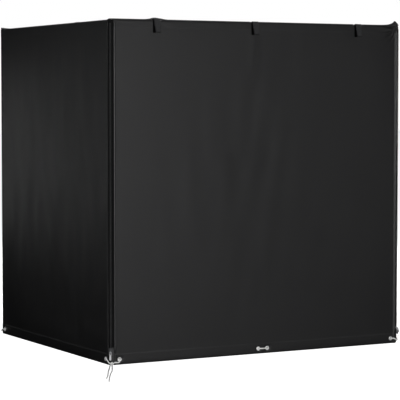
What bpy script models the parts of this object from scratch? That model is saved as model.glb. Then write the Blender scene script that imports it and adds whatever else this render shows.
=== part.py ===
"""Printer enclosure tent: a woven cover laced over a steel tube frame, with a lift-up front door.

Metres, +Z up. The origin is on the floor under the middle of the cover, +X runs to the right along
the front, and the door faces -Y. Every piece is its own object.
"""

import math

import bmesh
import bpy
from mathutils import Matrix, Vector

# Cover
WIDTH = 0.910
DEPTH = 0.740
HEIGHT = 0.900
CLOTH = 0.0012
CORNER_R = 0.011
HEM_Z = 0.001
GAP = 0.0003
DOOR_AXIS_OUT = 0.0006

# Frame
TUBE_R = 0.0095
TUBE_WALL = 0.001
FRAME_INSET = 0.0145
LOW_RAIL_Z = 0.030
HUB_HALF = 0.010
HUB_BEVEL = 0.0035
SPIGOT_R = TUBE_R - TUBE_WALL - GAP
SPIGOT_LENGTH = 0.026
FOOT_R = 0.008
ROUND_SIDES = 16

# Zips, seen from above as rings about the centre of each front corner's bend
CHAIN_HALF = 0.0025
CHAIN_IN_R = 0.0093
CHAIN_OUT_R = 0.0120
SLIDER_LOW = 0.026
SLIDER_LENGTH = 0.020
SLIDER_HALF = 0.005
SLIDER_TOP_R = 0.0143
SLIDER_FOOT_R = 0.0110
SLIDER_EDGE = 0.001
GROOVE_HALF = CHAIN_HALF + 0.0005
BAIL_HALF = 0.0012
BAIL_OUT_R = 0.0176
BAIL_THICK = 0.0008
BAIL_REACH = 0.0055
BAIL_LEG = 0.0013
BAR_R = 0.0007
PIN_R = SLIDER_TOP_R + BAR_R + 0.0005
PULLER_LENGTH = 0.0225
PULLER_HALF = 0.0032
PULLER_EYE = 0.0075
PULLER_RAIL = 0.0013

# Tabs over the top front edge
TAB_XS = (-0.319, -0.021, 0.311)
TAB_WIDTH = 0.020
TAB_DROP = 0.0346
TAB_RISE = 0.0012
TAB_THICK = 0.0034
TAB_OUT = 0.0023

# Lacing
EYELET_Z = 0.015
EYELET_INSET = 0.0265
CENTRE_PAIR_X = 0.006
CENTRE_PAIR_HALF = 0.014
EYELET_BORE_R = 0.0031
EYELET_BARREL_R = 0.0037
EYELET_RIM_R = 0.0058
EYELET_RIM = 0.0008
EYELET_CURL = 0.0006
EYELET_HOLE_R = EYELET_BARREL_R + GAP
CORD_R = 0.00175
CORD_IN = 0.0082
CORD_OUT = 0.0032
CORD_DIP_Z = 0.0085
CORD_END_DIP = 0.45
CORD_END_GAP = 0.0010
KNOT = Vector((-0.4522, -0.3762, 0.0056))
KNOT_R = 0.0050

HALF_W = WIDTH / 2
HALF_D = DEPTH / 2
BEND_X = HALF_W - CORNER_R
BEND_Y = HALF_D - CORNER_R
WALL_TOP = HEIGHT - CLOTH - GAP
TAPE_TOP = WALL_TOP - 0.0005
TAPE_R = CORNER_R - CLOTH
DOOR_TAPE_LOW = SLIDER_LOW + SLIDER_LENGTH + 0.002
PIN_Z = SLIDER_LOW + SLIDER_LENGTH / 2
FRAME_X = HALF_W - FRAME_INSET
FRAME_Y = HALF_D - FRAME_INSET
HIGH_RAIL_Z = HEIGHT - FRAME_INSET


def clear_scene():
    for old in list(bpy.data.objects):
        bpy.data.objects.remove(old)


def material(name, colour, roughness, metallic=0.0):
    made = bpy.data.materials.new(name)
    made.use_nodes = True
    shader = made.node_tree.nodes["Principled BSDF"]
    shader.inputs["Base Color"].default_value = (*colour, 1.0)
    shader.inputs["Roughness"].default_value = roughness
    shader.inputs["Metallic"].default_value = metallic
    made.diffuse_color = (*colour, 1.0)
    return made


def add_object(name, mesh, finish, parent=None, matrix=None):
    made = bpy.data.objects.new(name, mesh)
    bpy.context.scene.collection.objects.link(made)
    if finish is not None and not mesh.materials:
        mesh.materials.append(finish)
    if matrix is not None:
        made.matrix_world = matrix
    if parent is not None:
        made.parent = parent
        made.matrix_parent_inverse = Matrix.Translation(-parent.location)
    return made


def add_pivot(name, location, parent=None):
    pivot = bpy.data.objects.new(name, None)
    bpy.context.scene.collection.objects.link(pivot)
    pivot.location = location
    if parent is not None:
        pivot.parent = parent
        pivot.matrix_parent_inverse = Matrix.Translation(-parent.location)
    return pivot


def mesh_from(bm, name, smooth=False):
    bmesh.ops.recalc_face_normals(bm, faces=bm.faces)
    mesh = bpy.data.meshes.new(name)
    bm.to_mesh(mesh)
    bm.free()
    if smooth:
        mesh.shade_smooth()
        mesh.set_sharp_from_angle(angle=math.radians(35))
    return mesh


def prism(name, outline, low, high):
    """A closed outline in X and Y, raised from one height to another."""
    bm = bmesh.new()
    face = bm.faces.new([bm.verts.new((x, y, low)) for x, y in outline])
    raised = bmesh.ops.extrude_face_region(bm, geom=[face])["geom"]
    tops = [v for v in raised if isinstance(v, bmesh.types.BMVert)]
    bmesh.ops.translate(bm, verts=tops, vec=(0, 0, high - low))
    return mesh_from(bm, name)


def box(name, low, high, bevel=0.0):
    bm = bmesh.new()
    size = Vector(high) - Vector(low)
    middle = (Vector(high) + Vector(low)) / 2
    bmesh.ops.create_cube(bm, size=1, matrix=Matrix.Translation(middle) @ Matrix.Diagonal((*size, 1)))
    if bevel:
        bmesh.ops.bevel(bm, geom=bm.edges[:], offset=bevel, segments=2, affect="EDGES", profile=0.5)
    return mesh_from(bm, name)


def rod(name, start, end, radius, sides=ROUND_SIDES):
    """A solid round bar between two points."""
    start, end = Vector(start), Vector(end)
    run = end - start
    turn = run.to_track_quat("Z", "Y").to_matrix().to_4x4()
    bm = bmesh.new()
    bmesh.ops.create_cone(
        bm,
        cap_ends=True,
        segments=sides,
        radius1=radius,
        radius2=radius,
        depth=run.length,
        matrix=Matrix.Translation((start + end) / 2) @ turn,
    )
    return mesh_from(bm, name, True)


def turned(name, profile, sides):
    """A closed profile of (radius, height) points, turned about Z."""
    bm = bmesh.new()
    rings = []
    for step in range(sides):
        angle = 2 * math.pi * step / sides
        ring = [bm.verts.new((r * math.cos(angle), r * math.sin(angle), z)) for r, z in profile]
        rings.append(ring)
    for a, b in zip(rings, rings[1:] + rings[:1]):
        for i, _ in enumerate(profile):
            j = (i + 1) % len(profile)
            bm.faces.new((a[i], a[j], b[j], b[i]))
    return mesh_from(bm, name, True)


def combined(name, base, others, operation="UNION", smooth=False):
    """One mesh from a base mesh and others, joined to it or cut from it."""
    holder = add_object(name + "_base", base, None)
    helpers = []
    for number, mesh in enumerate(others):
        helper = add_object(f"{name}_tool_{number}", mesh, None)
        helper.hide_render = True
        helper.display_type = "WIRE"
        step = holder.modifiers.new(f"step_{number}", "BOOLEAN")
        step.operation = operation
        step.object = helper
        helpers.append(helper)
    bpy.context.view_layer.update()
    graph = bpy.context.evaluated_depsgraph_get()
    result = bpy.data.meshes.new_from_object(holder.evaluated_get(graph))
    result.name = name
    for used in [holder, *helpers]:
        bpy.data.objects.remove(used)
    if smooth:
        result.shade_smooth()
        result.set_sharp_from_angle(angle=math.radians(35))
    return result


def arc(centre, radius, start, end, steps):
    """Points on an arc, with both ends, angles in degrees."""
    points = []
    for step in range(steps + 1):
        angle = math.radians(start + (end - start) * step / steps)
        points.append((centre[0] + radius * math.cos(angle), centre[1] + radius * math.sin(angle)))
    return points


# ---------------------------------------------------------------- frame


def make_frame(steel, plastic):
    reach = HUB_HALF + GAP
    for level, z in (("top", HIGH_RAIL_Z), ("bottom", LOW_RAIL_Z)):
        for side, y in (("front", -FRAME_Y), ("back", FRAME_Y)):
            make_tube(f"{level}_{side}_rail", (-FRAME_X + reach, y, z), (FRAME_X - reach, y, z), steel)
        for side, x in (("left", -FRAME_X), ("right", FRAME_X)):
            make_tube(f"{level}_{side}_rail", (x, -FRAME_Y + reach, z), (x, FRAME_Y - reach, z), steel)
    for name, x, y in corners():
        make_tube(f"{name}_upright", (x, y, LOW_RAIL_Z + reach), (x, y, HIGH_RAIL_Z - reach), steel)
    high = connector_mesh("top_corner", down=True)
    low = connector_mesh("bottom_corner", down=False)
    for number, (name, x, y) in enumerate(corners()):
        turn = Matrix.Rotation(math.radians(90 * number), 4, "Z")
        add_object(f"top_{name}_corner", high, plastic, matrix=Matrix.Translation((x, y, HIGH_RAIL_Z)) @ turn)
        add_object(f"bottom_{name}_corner", low, plastic, matrix=Matrix.Translation((x, y, LOW_RAIL_Z)) @ turn)


def corners():
    """The four corners of the frame, anticlockwise from the front left."""
    return (
        ("front_left", -FRAME_X, -FRAME_Y),
        ("front_right", FRAME_X, -FRAME_Y),
        ("back_right", FRAME_X, FRAME_Y),
        ("back_left", -FRAME_X, FRAME_Y),
    )


def make_tube(name, start, end, steel):
    length = (Vector(end) - Vector(start)).length
    inner = TUBE_R - TUBE_WALL
    profile = ((TUBE_R, 0), (TUBE_R, length), (inner, length), (inner, 0))
    mesh = turned(name, profile, ROUND_SIDES)
    turn = (Vector(end) - Vector(start)).to_track_quat("Z", "Y").to_matrix().to_4x4()
    add_object(name, mesh, steel, matrix=Matrix.Translation(start) @ turn)


def connector_mesh(name, down):
    """A three-way connector at the origin for the front left corner. A low one has a foot."""
    hub = box(name, (-HUB_HALF,) * 3, (HUB_HALF,) * 3, HUB_BEVEL)
    reach = HUB_HALF + SPIGOT_LENGTH
    rise = -reach if down else reach
    tools = [rod(name, (0, 0, 0), end, SPIGOT_R, 12) for end in ((reach, 0, 0), (0, reach, 0), (0, 0, rise))]
    if not down:
        tools.append(rod(name, (0, 0, 0), (0, 0, -LOW_RAIL_Z), FOOT_R, 12))
    return combined(name, hub, tools, smooth=True)


# ---------------------------------------------------------------- cover


def eyelet_cutter(name, centre, axis):
    reach = Vector(axis) * 0.01
    return rod(name, Vector(centre) - reach, Vector(centre) + reach, EYELET_HOLE_R, 16)


def make_cover(cloth, door_pivot):
    left = box("left_panel", (-HALF_W, -BEND_Y, HEM_Z), (-HALF_W + CLOTH, BEND_Y, WALL_TOP))
    right = box("right_panel", (HALF_W - CLOTH, -BEND_Y, HEM_Z), (HALF_W, BEND_Y, WALL_TOP))
    for mesh, x in ((left, -HALF_W), (right, HALF_W)):
        holes = [eyelet_cutter("hole", (x, y, EYELET_Z), (1, 0, 0)) for y in side_eyelet_ys()]
        add_object(mesh.name, combined(mesh.name, mesh, holes, "DIFFERENCE"), cloth)

    outer = arc((BEND_X, BEND_Y), CORNER_R, 0, 90, 6) + arc((-BEND_X, BEND_Y), CORNER_R, 90, 180, 6)
    inner = arc((-BEND_X, BEND_Y), TAPE_R, 180, 90, 6) + arc((BEND_X, BEND_Y), TAPE_R, 90, 0, 6)
    on_edge = 1e-6
    outline = [(x, y + GAP) if abs(y - BEND_Y) < on_edge else (x, y) for x, y in outer + inner]
    back = prism("back_panel", outline, HEM_Z, WALL_TOP)
    holes = [eyelet_cutter("hole", (x, HALF_D, EYELET_Z), (0, 1, 0)) for x in front_eyelet_xs()]
    add_object("back_panel", combined("back_panel", back, holes, "DIFFERENCE"), cloth)

    roof = []
    for x, y, start in (
        (BEND_X, -BEND_Y, -90),
        (BEND_X, BEND_Y, 0),
        (-BEND_X, BEND_Y, 90),
        (-BEND_X, -BEND_Y, 180),
    ):
        roof += arc((x, y), CORNER_R, start, start + 90, 6)
    add_object("roof_panel", prism("roof_panel", roof, HEIGHT - CLOTH, HEIGHT), cloth)

    low = (-BEND_X + GAP / 2, -HALF_D, HEM_Z)
    high = (BEND_X - GAP / 2, -HALF_D + CLOTH, WALL_TOP)
    door = box("front_door", low, high)
    holes = [eyelet_cutter("hole", (x, -HALF_D, EYELET_Z), (0, 1, 0)) for x in front_eyelet_xs()]
    add_object("front_door", combined("front_door", door, holes, "DIFFERENCE"), cloth, door_pivot)


def front_eyelet_xs():
    edge = HALF_W - EYELET_INSET
    return (-edge, CENTRE_PAIR_X - CENTRE_PAIR_HALF, CENTRE_PAIR_X + CENTRE_PAIR_HALF, edge)


def side_eyelet_ys():
    edge = HALF_D - EYELET_INSET
    return (-edge, edge)


def make_tabs(webbing, door_pivot):
    for name, x in zip(("left", "middle", "right"), TAB_XS):
        axis = Vector((x, -HALF_D - TAB_OUT, HEIGHT + DOOR_AXIS_OUT))
        pivot = add_pivot(f"{name}_tab_pivot", axis, door_pivot)
        half = Vector((TAB_WIDTH / 2, TAB_THICK / 2, 0))
        low = axis - half - Vector((0, 0, TAB_DROP))
        high = axis + half + Vector((0, 0, TAB_RISE))
        add_object(f"{name}_tab", box(f"{name}_tab", low, high, 0.0005), webbing, pivot)


# ---------------------------------------------------------------- zips


def half_zip_outline(side):
    """Half a zip about the bend's centre, as a tape that ends in a chain at 225 degrees."""
    half_gap = math.degrees(GAP / 2 / CORNER_R)
    chain = math.degrees(CHAIN_HALF / CORNER_R)
    if side == "body":
        edge, root, end = 180 + half_gap, 225 - chain, 225 - half_gap
    else:
        edge, root, end = 270 - half_gap, 225 + chain, 225 + half_gap
    outline = arc((0, 0), CORNER_R, edge, root, 4)
    outline += arc((0, 0), CHAIN_OUT_R, root, end, 1)
    outline += arc((0, 0), CHAIN_IN_R, end, root, 1)
    outline += arc((0, 0), TAPE_R, root, edge, 4)
    return outline


def end_patch_outline():
    """The plain corner piece below the door's half of the zip, on the body side of the hem."""
    half_gap = math.degrees(GAP / 2 / CORNER_R)
    outer = arc((0, 0), CORNER_R, 225 + half_gap, 270 - half_gap, 4)
    inner = arc((0, 0), TAPE_R, 270 - half_gap, 225 + half_gap, 4)
    return outer + inner


def slider_mesh(name):
    """A slider with its back to -X: a plate with two flanges over the chain, and a bail on top."""
    half, foot, top, edge = SLIDER_HALF, SLIDER_FOOT_R, SLIDER_TOP_R, SLIDER_EDGE
    roof = CHAIN_OUT_R + GAP
    outline = [
        (-foot, -half),
        (-top + edge, -half),
        (-top, -half + edge),
        (-top, half - edge),
        (-top + edge, half),
        (-foot, half),
        (-foot, GROOVE_HALF),
        (-roof, GROOVE_HALF),
        (-roof, -GROOVE_HALF),
        (-foot, -GROOVE_HALF),
    ]
    body = prism(name, outline, SLIDER_LOW, SLIDER_LOW + SLIDER_LENGTH)
    low, high = PIN_Z - BAIL_REACH, PIN_Z + BAIL_REACH
    bail = box(name, (-BAIL_OUT_R, -BAIL_HALF, low), (-top + edge / 2, BAIL_HALF, high), BAIL_THICK / 2)
    hollow = (-BAIL_OUT_R + BAIL_THICK, -half, low + BAIL_LEG), (-top, half, high - BAIL_LEG)
    arch = combined(name + "_bail", bail, [box(name, *hollow)], "DIFFERENCE")
    return combined(name, body, [arch])


def puller_mesh(name):
    """A flat puller with a rectangular eye, hanging from its bar under the bail."""
    low = (-PIN_R - BAR_R, -PULLER_HALF, PIN_Z - PULLER_LENGTH)
    high = (-PIN_R + BAR_R, PULLER_HALF, PIN_Z + BAR_R)
    plate = box(name, low, high, BAR_R / 2)
    eye_half = PULLER_HALF - PULLER_RAIL
    eye = box(name, (-2 * PIN_R, -eye_half, PIN_Z - PULLER_EYE), (0, eye_half, PIN_Z - BAR_R))
    return combined(name, plate, [eye], "DIFFERENCE")


def make_zips(tape, metal, door_pivot):
    body_half = prism("zip_body_half", half_zip_outline("body"), HEM_Z, TAPE_TOP)
    door_half = prism("zip_door_half", half_zip_outline("door"), DOOR_TAPE_LOW, TAPE_TOP)
    patch = prism("zip_end_patch", end_patch_outline(), HEM_Z, DOOR_TAPE_LOW - GAP)
    slider = slider_mesh("zip_slider")
    puller = puller_mesh("zip_puller")
    for side, sign in (("left", 1), ("right", -1)):
        corner = Matrix.Translation((-sign * BEND_X, -BEND_Y, 0))
        flip = Matrix.Diagonal((sign, 1, 1, 1))
        turn = Matrix.Rotation(math.radians(45), 4, "Z")
        add_object(f"{side}_zip_body_half", placed(body_half, corner @ flip), tape)
        add_object(f"{side}_zip_door_half", placed(door_half, corner @ flip), tape, door_pivot)
        add_object(f"{side}_zip_end_patch", placed(patch, corner @ flip), tape)
        add_object(f"{side}_zip_slider", placed(slider, corner @ flip @ turn), metal)
        pin = corner @ flip @ turn @ Vector((-PIN_R, 0, PIN_Z))
        pivot = add_pivot(f"{side}_puller_pivot", pin)
        add_object(f"{side}_zip_puller", placed(puller, corner @ flip @ turn), metal, pivot)


def placed(mesh, matrix):
    """A copy of a mesh with a placing or mirroring matrix applied to its points."""
    copy = mesh.copy()
    copy.transform(matrix)
    if matrix.determinant() < 0:
        copy.flip_normals()
    return copy


# ---------------------------------------------------------------- eyelets and lacing


def eyelet_mesh():
    """An eyelet about Z, its outer rim above the cloth's face at zero height."""
    out = GAP + EYELET_RIM
    back = -CLOTH - GAP
    profile = (
        (EYELET_BORE_R, out - EYELET_CURL / 3),
        (EYELET_BORE_R + EYELET_CURL, out),
        (EYELET_RIM_R - EYELET_CURL, out),
        (EYELET_RIM_R, GAP),
        (EYELET_BARREL_R, GAP),
        (EYELET_BARREL_R, back),
        (EYELET_RIM_R, back),
        (EYELET_RIM_R - EYELET_CURL, back - EYELET_RIM),
        (EYELET_BORE_R, back - EYELET_RIM),
    )
    return turned("eyelet", profile, 12)


def make_eyelets(brass, door_pivot):
    mesh = eyelet_mesh()
    names = ("left", "centre_left", "centre_right", "right")
    for name, x in zip(names, front_eyelet_xs()):
        place = Matrix.Translation((x, -HALF_D, EYELET_Z)) @ Matrix.Rotation(math.radians(90), 4, "X")
        add_object(f"front_{name}_eyelet", mesh, brass, door_pivot, place)
        place = Matrix.Translation((x, HALF_D, EYELET_Z)) @ Matrix.Rotation(math.radians(-90), 4, "X")
        add_object(f"back_{name}_eyelet", mesh, brass, None, place)
    for side, sign in (("left", -1), ("right", 1)):
        for end, y in zip(("front", "back"), side_eyelet_ys()):
            turn = Matrix.Rotation(math.radians(90 * sign), 4, "Y")
            place = Matrix.Translation((sign * HALF_W, y, EYELET_Z)) @ turn
            add_object(f"{side}_{end}_eyelet", mesh, brass, None, place)


def through_hole(hole, along, outward, leaving):
    """Points of the cord going out through an eyelet, or in when leaving is False.

    hole is the eyelet's centre on the cloth's outer face, along the way the cord travels and
    outward the face's normal.
    """
    steps = (
        (-0.0180, -CORD_IN),
        (-0.0080, -CORD_IN),
        (-0.0036, -CORD_IN + 0.0011),
        (-0.0014, -0.0047),
        (-0.0006, -0.0024),
        (0.0004, 0.0003),
        (0.0016, 0.0022),
        (0.0044, CORD_OUT),
        (0.0085, CORD_OUT),
    )
    points = [hole + along * s + outward * n for s, n in steps]
    if leaving:
        return points
    mirrored = [hole - along * s + outward * n for s, n in steps]
    return mirrored[::-1]


def corner_wrap(x_sign, y_sign, start, end, steps):
    """Points round the outside of a corner, dipping towards the floor at its middle.

    start and end are angles on the corner's bend, in degrees.
    """
    centre = Vector((x_sign * BEND_X, y_sign * BEND_Y, 0))
    radius = CORNER_R + CORD_OUT
    points = []
    for step in range(steps + 1):
        angle = start + (end - start) * step / steps
        middle = math.atan2(y_sign, x_sign)
        swing = math.cos(2 * (math.radians(angle) - middle))
        dip = CORD_END_DIP + (1 - CORD_END_DIP) * max(0.0, swing)
        z = EYELET_Z - (EYELET_Z - CORD_DIP_Z) * dip
        way = Vector((math.cos(math.radians(angle)), math.sin(math.radians(angle)), 0))
        points.append(centre + way * radius + Vector((0, 0, z)))
    return points


def make_cord(name, points, finish, parent=None):
    curve = bpy.data.curves.new(name, "CURVE")
    curve.dimensions = "3D"
    curve.bevel_depth = CORD_R
    curve.bevel_resolution = 2
    curve.use_fill_caps = True
    spline = curve.splines.new("POLY")
    spline.points.add(len(points) - 1)
    for place, point in zip(spline.points, points):
        place.co = (*point, 1)
    return add_object(name, curve, finish, parent)


def smoothed(route, steps):
    """A smooth curve through the route's points, as a centripetal spline."""
    points = [Vector(p) for p in route]
    ends = [2 * points[0] - points[1], *points, 2 * points[-1] - points[-2]]
    line = []
    for a, b, c, d in zip(ends, ends[1:], ends[2:], ends[3:]):
        ta = 0.0
        tb = ta + (b - a).length ** 0.5
        tc = tb + (c - b).length ** 0.5
        td = tc + (d - c).length ** 0.5
        for step in range(steps):
            t = tb + (tc - tb) * step / steps
            ab = a * (tb - t) / (tb - ta) + b * (t - ta) / (tb - ta)
            bc = b * (tc - t) / (tc - tb) + c * (t - tb) / (tc - tb)
            cd = c * (td - t) / (td - tc) + d * (t - tc) / (td - tc)
            abc = ab * (tc - t) / (tc - ta) + bc * (t - ta) / (tc - ta)
            bcd = bc * (td - t) / (td - tb) + cd * (t - tb) / (td - tb)
            line.append(abc * (tc - t) / (tc - tb) + bcd * (t - tb) / (tc - tb))
    return [*line, points[-1]]


def side_hole(sign, y):
    return Vector((sign * HALF_W, y, EYELET_Z))


def face_hole(sign, x):
    return Vector((x, sign * HALF_D, EYELET_Z))


def make_lacing(white, door_pivot):
    right, left = Vector((1, 0, 0)), Vector((-1, 0, 0))
    back, front = Vector((0, 1, 0)), Vector((0, -1, 0))
    x_left, x_pair_left, x_pair_right, x_right = front_eyelet_xs()
    y_front, y_back = side_eyelet_ys()
    half_gap = math.degrees(CORD_END_GAP / 2 / (CORNER_R + CORD_OUT))

    # Anticlockwise from the front right corner, round the back to the front left corner.
    route = corner_wrap(1, -1, -45 + half_gap, -12, 3)
    route += through_hole(side_hole(1, y_front), back, right, False)
    route += through_hole(side_hole(1, y_back), back, right, True)
    route += corner_wrap(1, 1, 12, 78, 4)
    route += through_hole(face_hole(1, x_right), left, back, False)
    route += through_hole(face_hole(1, x_pair_right), left, back, True)[:-1]
    route += through_hole(face_hole(1, x_pair_left), left, back, False)[1:]
    route += through_hole(face_hole(1, x_left), left, back, True)
    route += corner_wrap(-1, 1, 102, 168, 4)
    route += through_hole(side_hole(-1, y_back), front, left, False)
    route += through_hole(side_hole(-1, y_front), front, left, True)
    route += body_cord_to_knot()
    make_cord("body_hem_cord", route, white)

    # Along the door's hem, from the knot to the front right corner.
    route = knot_to_door_cord(face_hole(-1, x_left))
    route += through_hole(face_hole(-1, x_left), right, front, False)[3:]
    route += through_hole(face_hole(-1, x_pair_left), right, front, True)[:-1]
    route += through_hole(face_hole(-1, x_pair_right), right, front, False)[1:]
    route += through_hole(face_hole(-1, x_right), right, front, True)
    route += corner_wrap(1, -1, -78, -45 - half_gap, 3)
    make_cord("door_hem_cord", route, white, door_pivot)

    make_knot(white)
    make_cord("long_cord_tail", smoothed(LONG_TAIL, 4), white)
    make_cord("short_cord_tail", smoothed(SHORT_TAIL, 4), white)


def body_cord_to_knot():
    """From the left panel's front eyelet down round the corner to the knot."""
    return [
        Vector((-HALF_W - CORD_OUT, -0.3570, 0.0128)),
        Vector((-HALF_W - CORD_OUT, -0.3640, 0.0100)),
        Vector((-HALF_W - CORD_OUT + 0.0004, -0.3693, 0.0072)),
    ]


def knot_to_door_cord(hole):
    """From the knot level along the door's hem, then straight up into its left eyelet."""
    return [
        Vector((KNOT.x + KNOT_R + 0.0018, -HALF_D - CORD_OUT - 0.0012, 0.0080)),
        Vector((hole.x - 0.0125, -HALF_D - CORD_OUT, 0.0078)),
        Vector((hole.x - 0.0060, -HALF_D - CORD_OUT, 0.0073)),
        Vector((hole.x - 0.0018, -HALF_D - CORD_OUT, 0.0084)),
        Vector((hole.x - 0.0008, -HALF_D - CORD_OUT - 0.0002, 0.0112)),
        Vector((hole.x - 0.0005, -HALF_D - 0.0022, 0.0138)),
    ]


def make_knot(white):
    bm = bmesh.new()
    bmesh.ops.create_uvsphere(bm, u_segments=12, v_segments=8, radius=KNOT_R)
    bmesh.ops.scale(bm, vec=(1.0, 0.95, 0.9), verts=bm.verts)
    bmesh.ops.translate(bm, vec=KNOT, verts=bm.verts)
    add_object("corner_knot", mesh_from(bm, "corner_knot", True), white)


# The free ends of the lacing, lying on the floor from the knot.
LONG_TAIL = (
    (-0.4552, -0.3812, 0.0040),
    (-0.4592, -0.3897, 0.0023),
    (-0.4665, -0.4056, 0.0020),
    (-0.4800, -0.4330, 0.0020),
    (-0.4955, -0.4640, 0.0020),
    (-0.5140, -0.4960, 0.0020),
    (-0.5335, -0.5310, 0.0020),
    (-0.5540, -0.5700, 0.0020),
    (-0.5771, -0.6160, 0.0020),
)
SHORT_TAIL = (
    (-0.4577, -0.3790, 0.0044),
    (-0.4640, -0.3870, 0.0025),
    (-0.4718, -0.4000, 0.0020),
    (-0.4800, -0.4175, 0.0020),
    (-0.4950, -0.4440, 0.0020),
    (-0.5110, -0.4740, 0.0020),
    (-0.5270, -0.5060, 0.0020),
    (-0.5430, -0.5360, 0.0020),
    (-0.5602, -0.5665, 0.0020),
)


def main():
    clear_scene()
    cloth = material("cover_cloth", (0.030, 0.030, 0.032), 0.85)
    webbing = material("tab_webbing", (0.045, 0.045, 0.048), 0.80)
    tape = material("zip_tape", (0.020, 0.020, 0.022), 0.75)
    metal = material("zip_metal", (0.52, 0.52, 0.53), 0.35, 0.9)
    steel = material("frame_steel", (0.72, 0.72, 0.73), 0.35, 0.6)
    plastic = material("corner_plastic", (0.035, 0.035, 0.037), 0.50)
    eyelet = material("eyelet_metal", (0.80, 0.80, 0.80), 0.30, 0.9)
    white = material("cord_white", (0.82, 0.82, 0.80), 0.80)

    door_pivot = add_pivot("door_pivot", (0, -HALF_D - DOOR_AXIS_OUT, HEIGHT + DOOR_AXIS_OUT))
    make_frame(steel, plastic)
    make_cover(cloth, door_pivot)
    make_tabs(webbing, door_pivot)
    make_zips(tape, metal, door_pivot)
    make_eyelets(eyelet, door_pivot)
    make_lacing(white, door_pivot)


main()
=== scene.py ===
import math

import bmesh
import bpy
import numpy as np
from mathutils import Matrix, Vector


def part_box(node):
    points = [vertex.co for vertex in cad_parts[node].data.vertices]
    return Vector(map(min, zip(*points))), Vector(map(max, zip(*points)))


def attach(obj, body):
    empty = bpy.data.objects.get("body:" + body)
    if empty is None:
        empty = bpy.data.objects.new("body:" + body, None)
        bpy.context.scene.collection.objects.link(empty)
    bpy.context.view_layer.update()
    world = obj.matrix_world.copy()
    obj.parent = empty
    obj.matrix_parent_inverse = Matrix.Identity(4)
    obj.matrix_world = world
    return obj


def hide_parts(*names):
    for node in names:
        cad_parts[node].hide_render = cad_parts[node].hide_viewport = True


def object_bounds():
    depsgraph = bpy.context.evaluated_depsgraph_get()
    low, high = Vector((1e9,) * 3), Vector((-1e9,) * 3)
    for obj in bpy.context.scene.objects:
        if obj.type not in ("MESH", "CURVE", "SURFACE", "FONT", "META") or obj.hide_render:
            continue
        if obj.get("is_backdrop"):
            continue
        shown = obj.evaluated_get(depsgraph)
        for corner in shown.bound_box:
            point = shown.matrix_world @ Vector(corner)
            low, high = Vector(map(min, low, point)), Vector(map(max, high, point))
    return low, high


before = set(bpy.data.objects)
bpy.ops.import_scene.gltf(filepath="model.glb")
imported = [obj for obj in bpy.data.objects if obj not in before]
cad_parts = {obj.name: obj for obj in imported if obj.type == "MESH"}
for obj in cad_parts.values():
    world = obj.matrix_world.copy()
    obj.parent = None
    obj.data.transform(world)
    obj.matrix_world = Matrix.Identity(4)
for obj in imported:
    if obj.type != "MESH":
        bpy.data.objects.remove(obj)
cad_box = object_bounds()

# ---------------------------------------------------------------- measures, in metres

DOOR_LOW, DOOR_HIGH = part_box("front_door")
LEFT_LOW, LEFT_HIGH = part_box("left_panel")
HALF_W, HALF_D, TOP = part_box("roof_panel")[1]
BEND_Y = LEFT_HIGH.y  # the upright corners bend round (BEND_X, BEND_Y) with radius BEND_R
BEND_R = HALF_D - BEND_Y
BEND_X = HALF_W - BEND_R
WALL_TOP = DOOR_HIGH.z
HEM_Z = LEFT_LOW.z
QUARTER_BEND = math.pi / 2 * BEND_R
SIDES = ("left", "right")
TABS = ("left", "middle", "right")

# Cloth: its thickness, the steps of its grids, its hems, and the ring cut round each eyelet.
CLOTH = 0.0008
ROOF_CLOTH = 0.0006
SHEET_STEP = 0.010
SIM_STEP = 0.0125
SIM_FRAMES = 36
BOTTOM_HEM = 0.0285
TOP_HEM = 0.020
EDGE_HEM = 0.0058
TURNED_IN = 0.016
CLOTH_SETTINGS = {
    "quality": 5,
    "mass": 0.12,
    "tension_stiffness": 12,
    "compression_stiffness": 12,
    "shear_stiffness": 3,
    "bending_stiffness": 1.5,
    "tension_damping": 8,
    "air_damping": 3,
    "vertex_group_mass": "seams",
}
HOLE_MARK = 0.004
HOLE_R = 0.0044
CREASES = ((0.418, 0.0007), (0.572, 0.0006))  # place along the door, depth

# Zips: the tape's bend and the angles it covers, in degrees from the side wall towards the door.
TAPE_R = 0.0101
WALL_TAPE = (-25, 43)
DOOR_TAPE = (47, 115)
COIL_PITCH = 0.0025

# Hem cord: how far its middle lies behind and before the cloth, and its dips at the corners.
CORD_R = 0.00175
CORD_IN = 0.0082
CORD_OUT = 0.0032
CORD_DIP_Z = 0.0085
CORD_END_DIP = 0.45
KNOT = Vector((-0.4522, -0.3762, 0.0056))
KNOT_R = 0.0050

# The roof's edge, with its peak at the front right corner, and the tabs.
WELT_R = 0.0021
PEAK_X = 0.439
PEAK = 0.013
ROOF_SAG = 0.009
TAB_BUMP = 0.0048
TAB_NOTCH = 0.0062
WEBBING = 0.0014
WEBBING_EDGE = 0.0022

# The free cords' routes, the same as in the CAD.
LONG_TAIL = (
    (-0.4552, -0.3812, 0.0040),
    (-0.4592, -0.3897, 0.0023),
    (-0.4665, -0.4056, 0.0020),
    (-0.4800, -0.4330, 0.0020),
    (-0.4955, -0.4640, 0.0020),
    (-0.5140, -0.4960, 0.0020),
    (-0.5335, -0.5310, 0.0020),
    (-0.5540, -0.5700, 0.0020),
    (-0.5771, -0.6160, 0.0020),
)
SHORT_TAIL = (
    (-0.4577, -0.3790, 0.0044),
    (-0.4640, -0.3870, 0.0025),
    (-0.4718, -0.4000, 0.0020),
    (-0.4800, -0.4175, 0.0020),
    (-0.4950, -0.4440, 0.0020),
    (-0.5110, -0.4740, 0.0020),
    (-0.5270, -0.5060, 0.0020),
    (-0.5430, -0.5360, 0.0020),
    (-0.5602, -0.5665, 0.0020),
)


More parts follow.
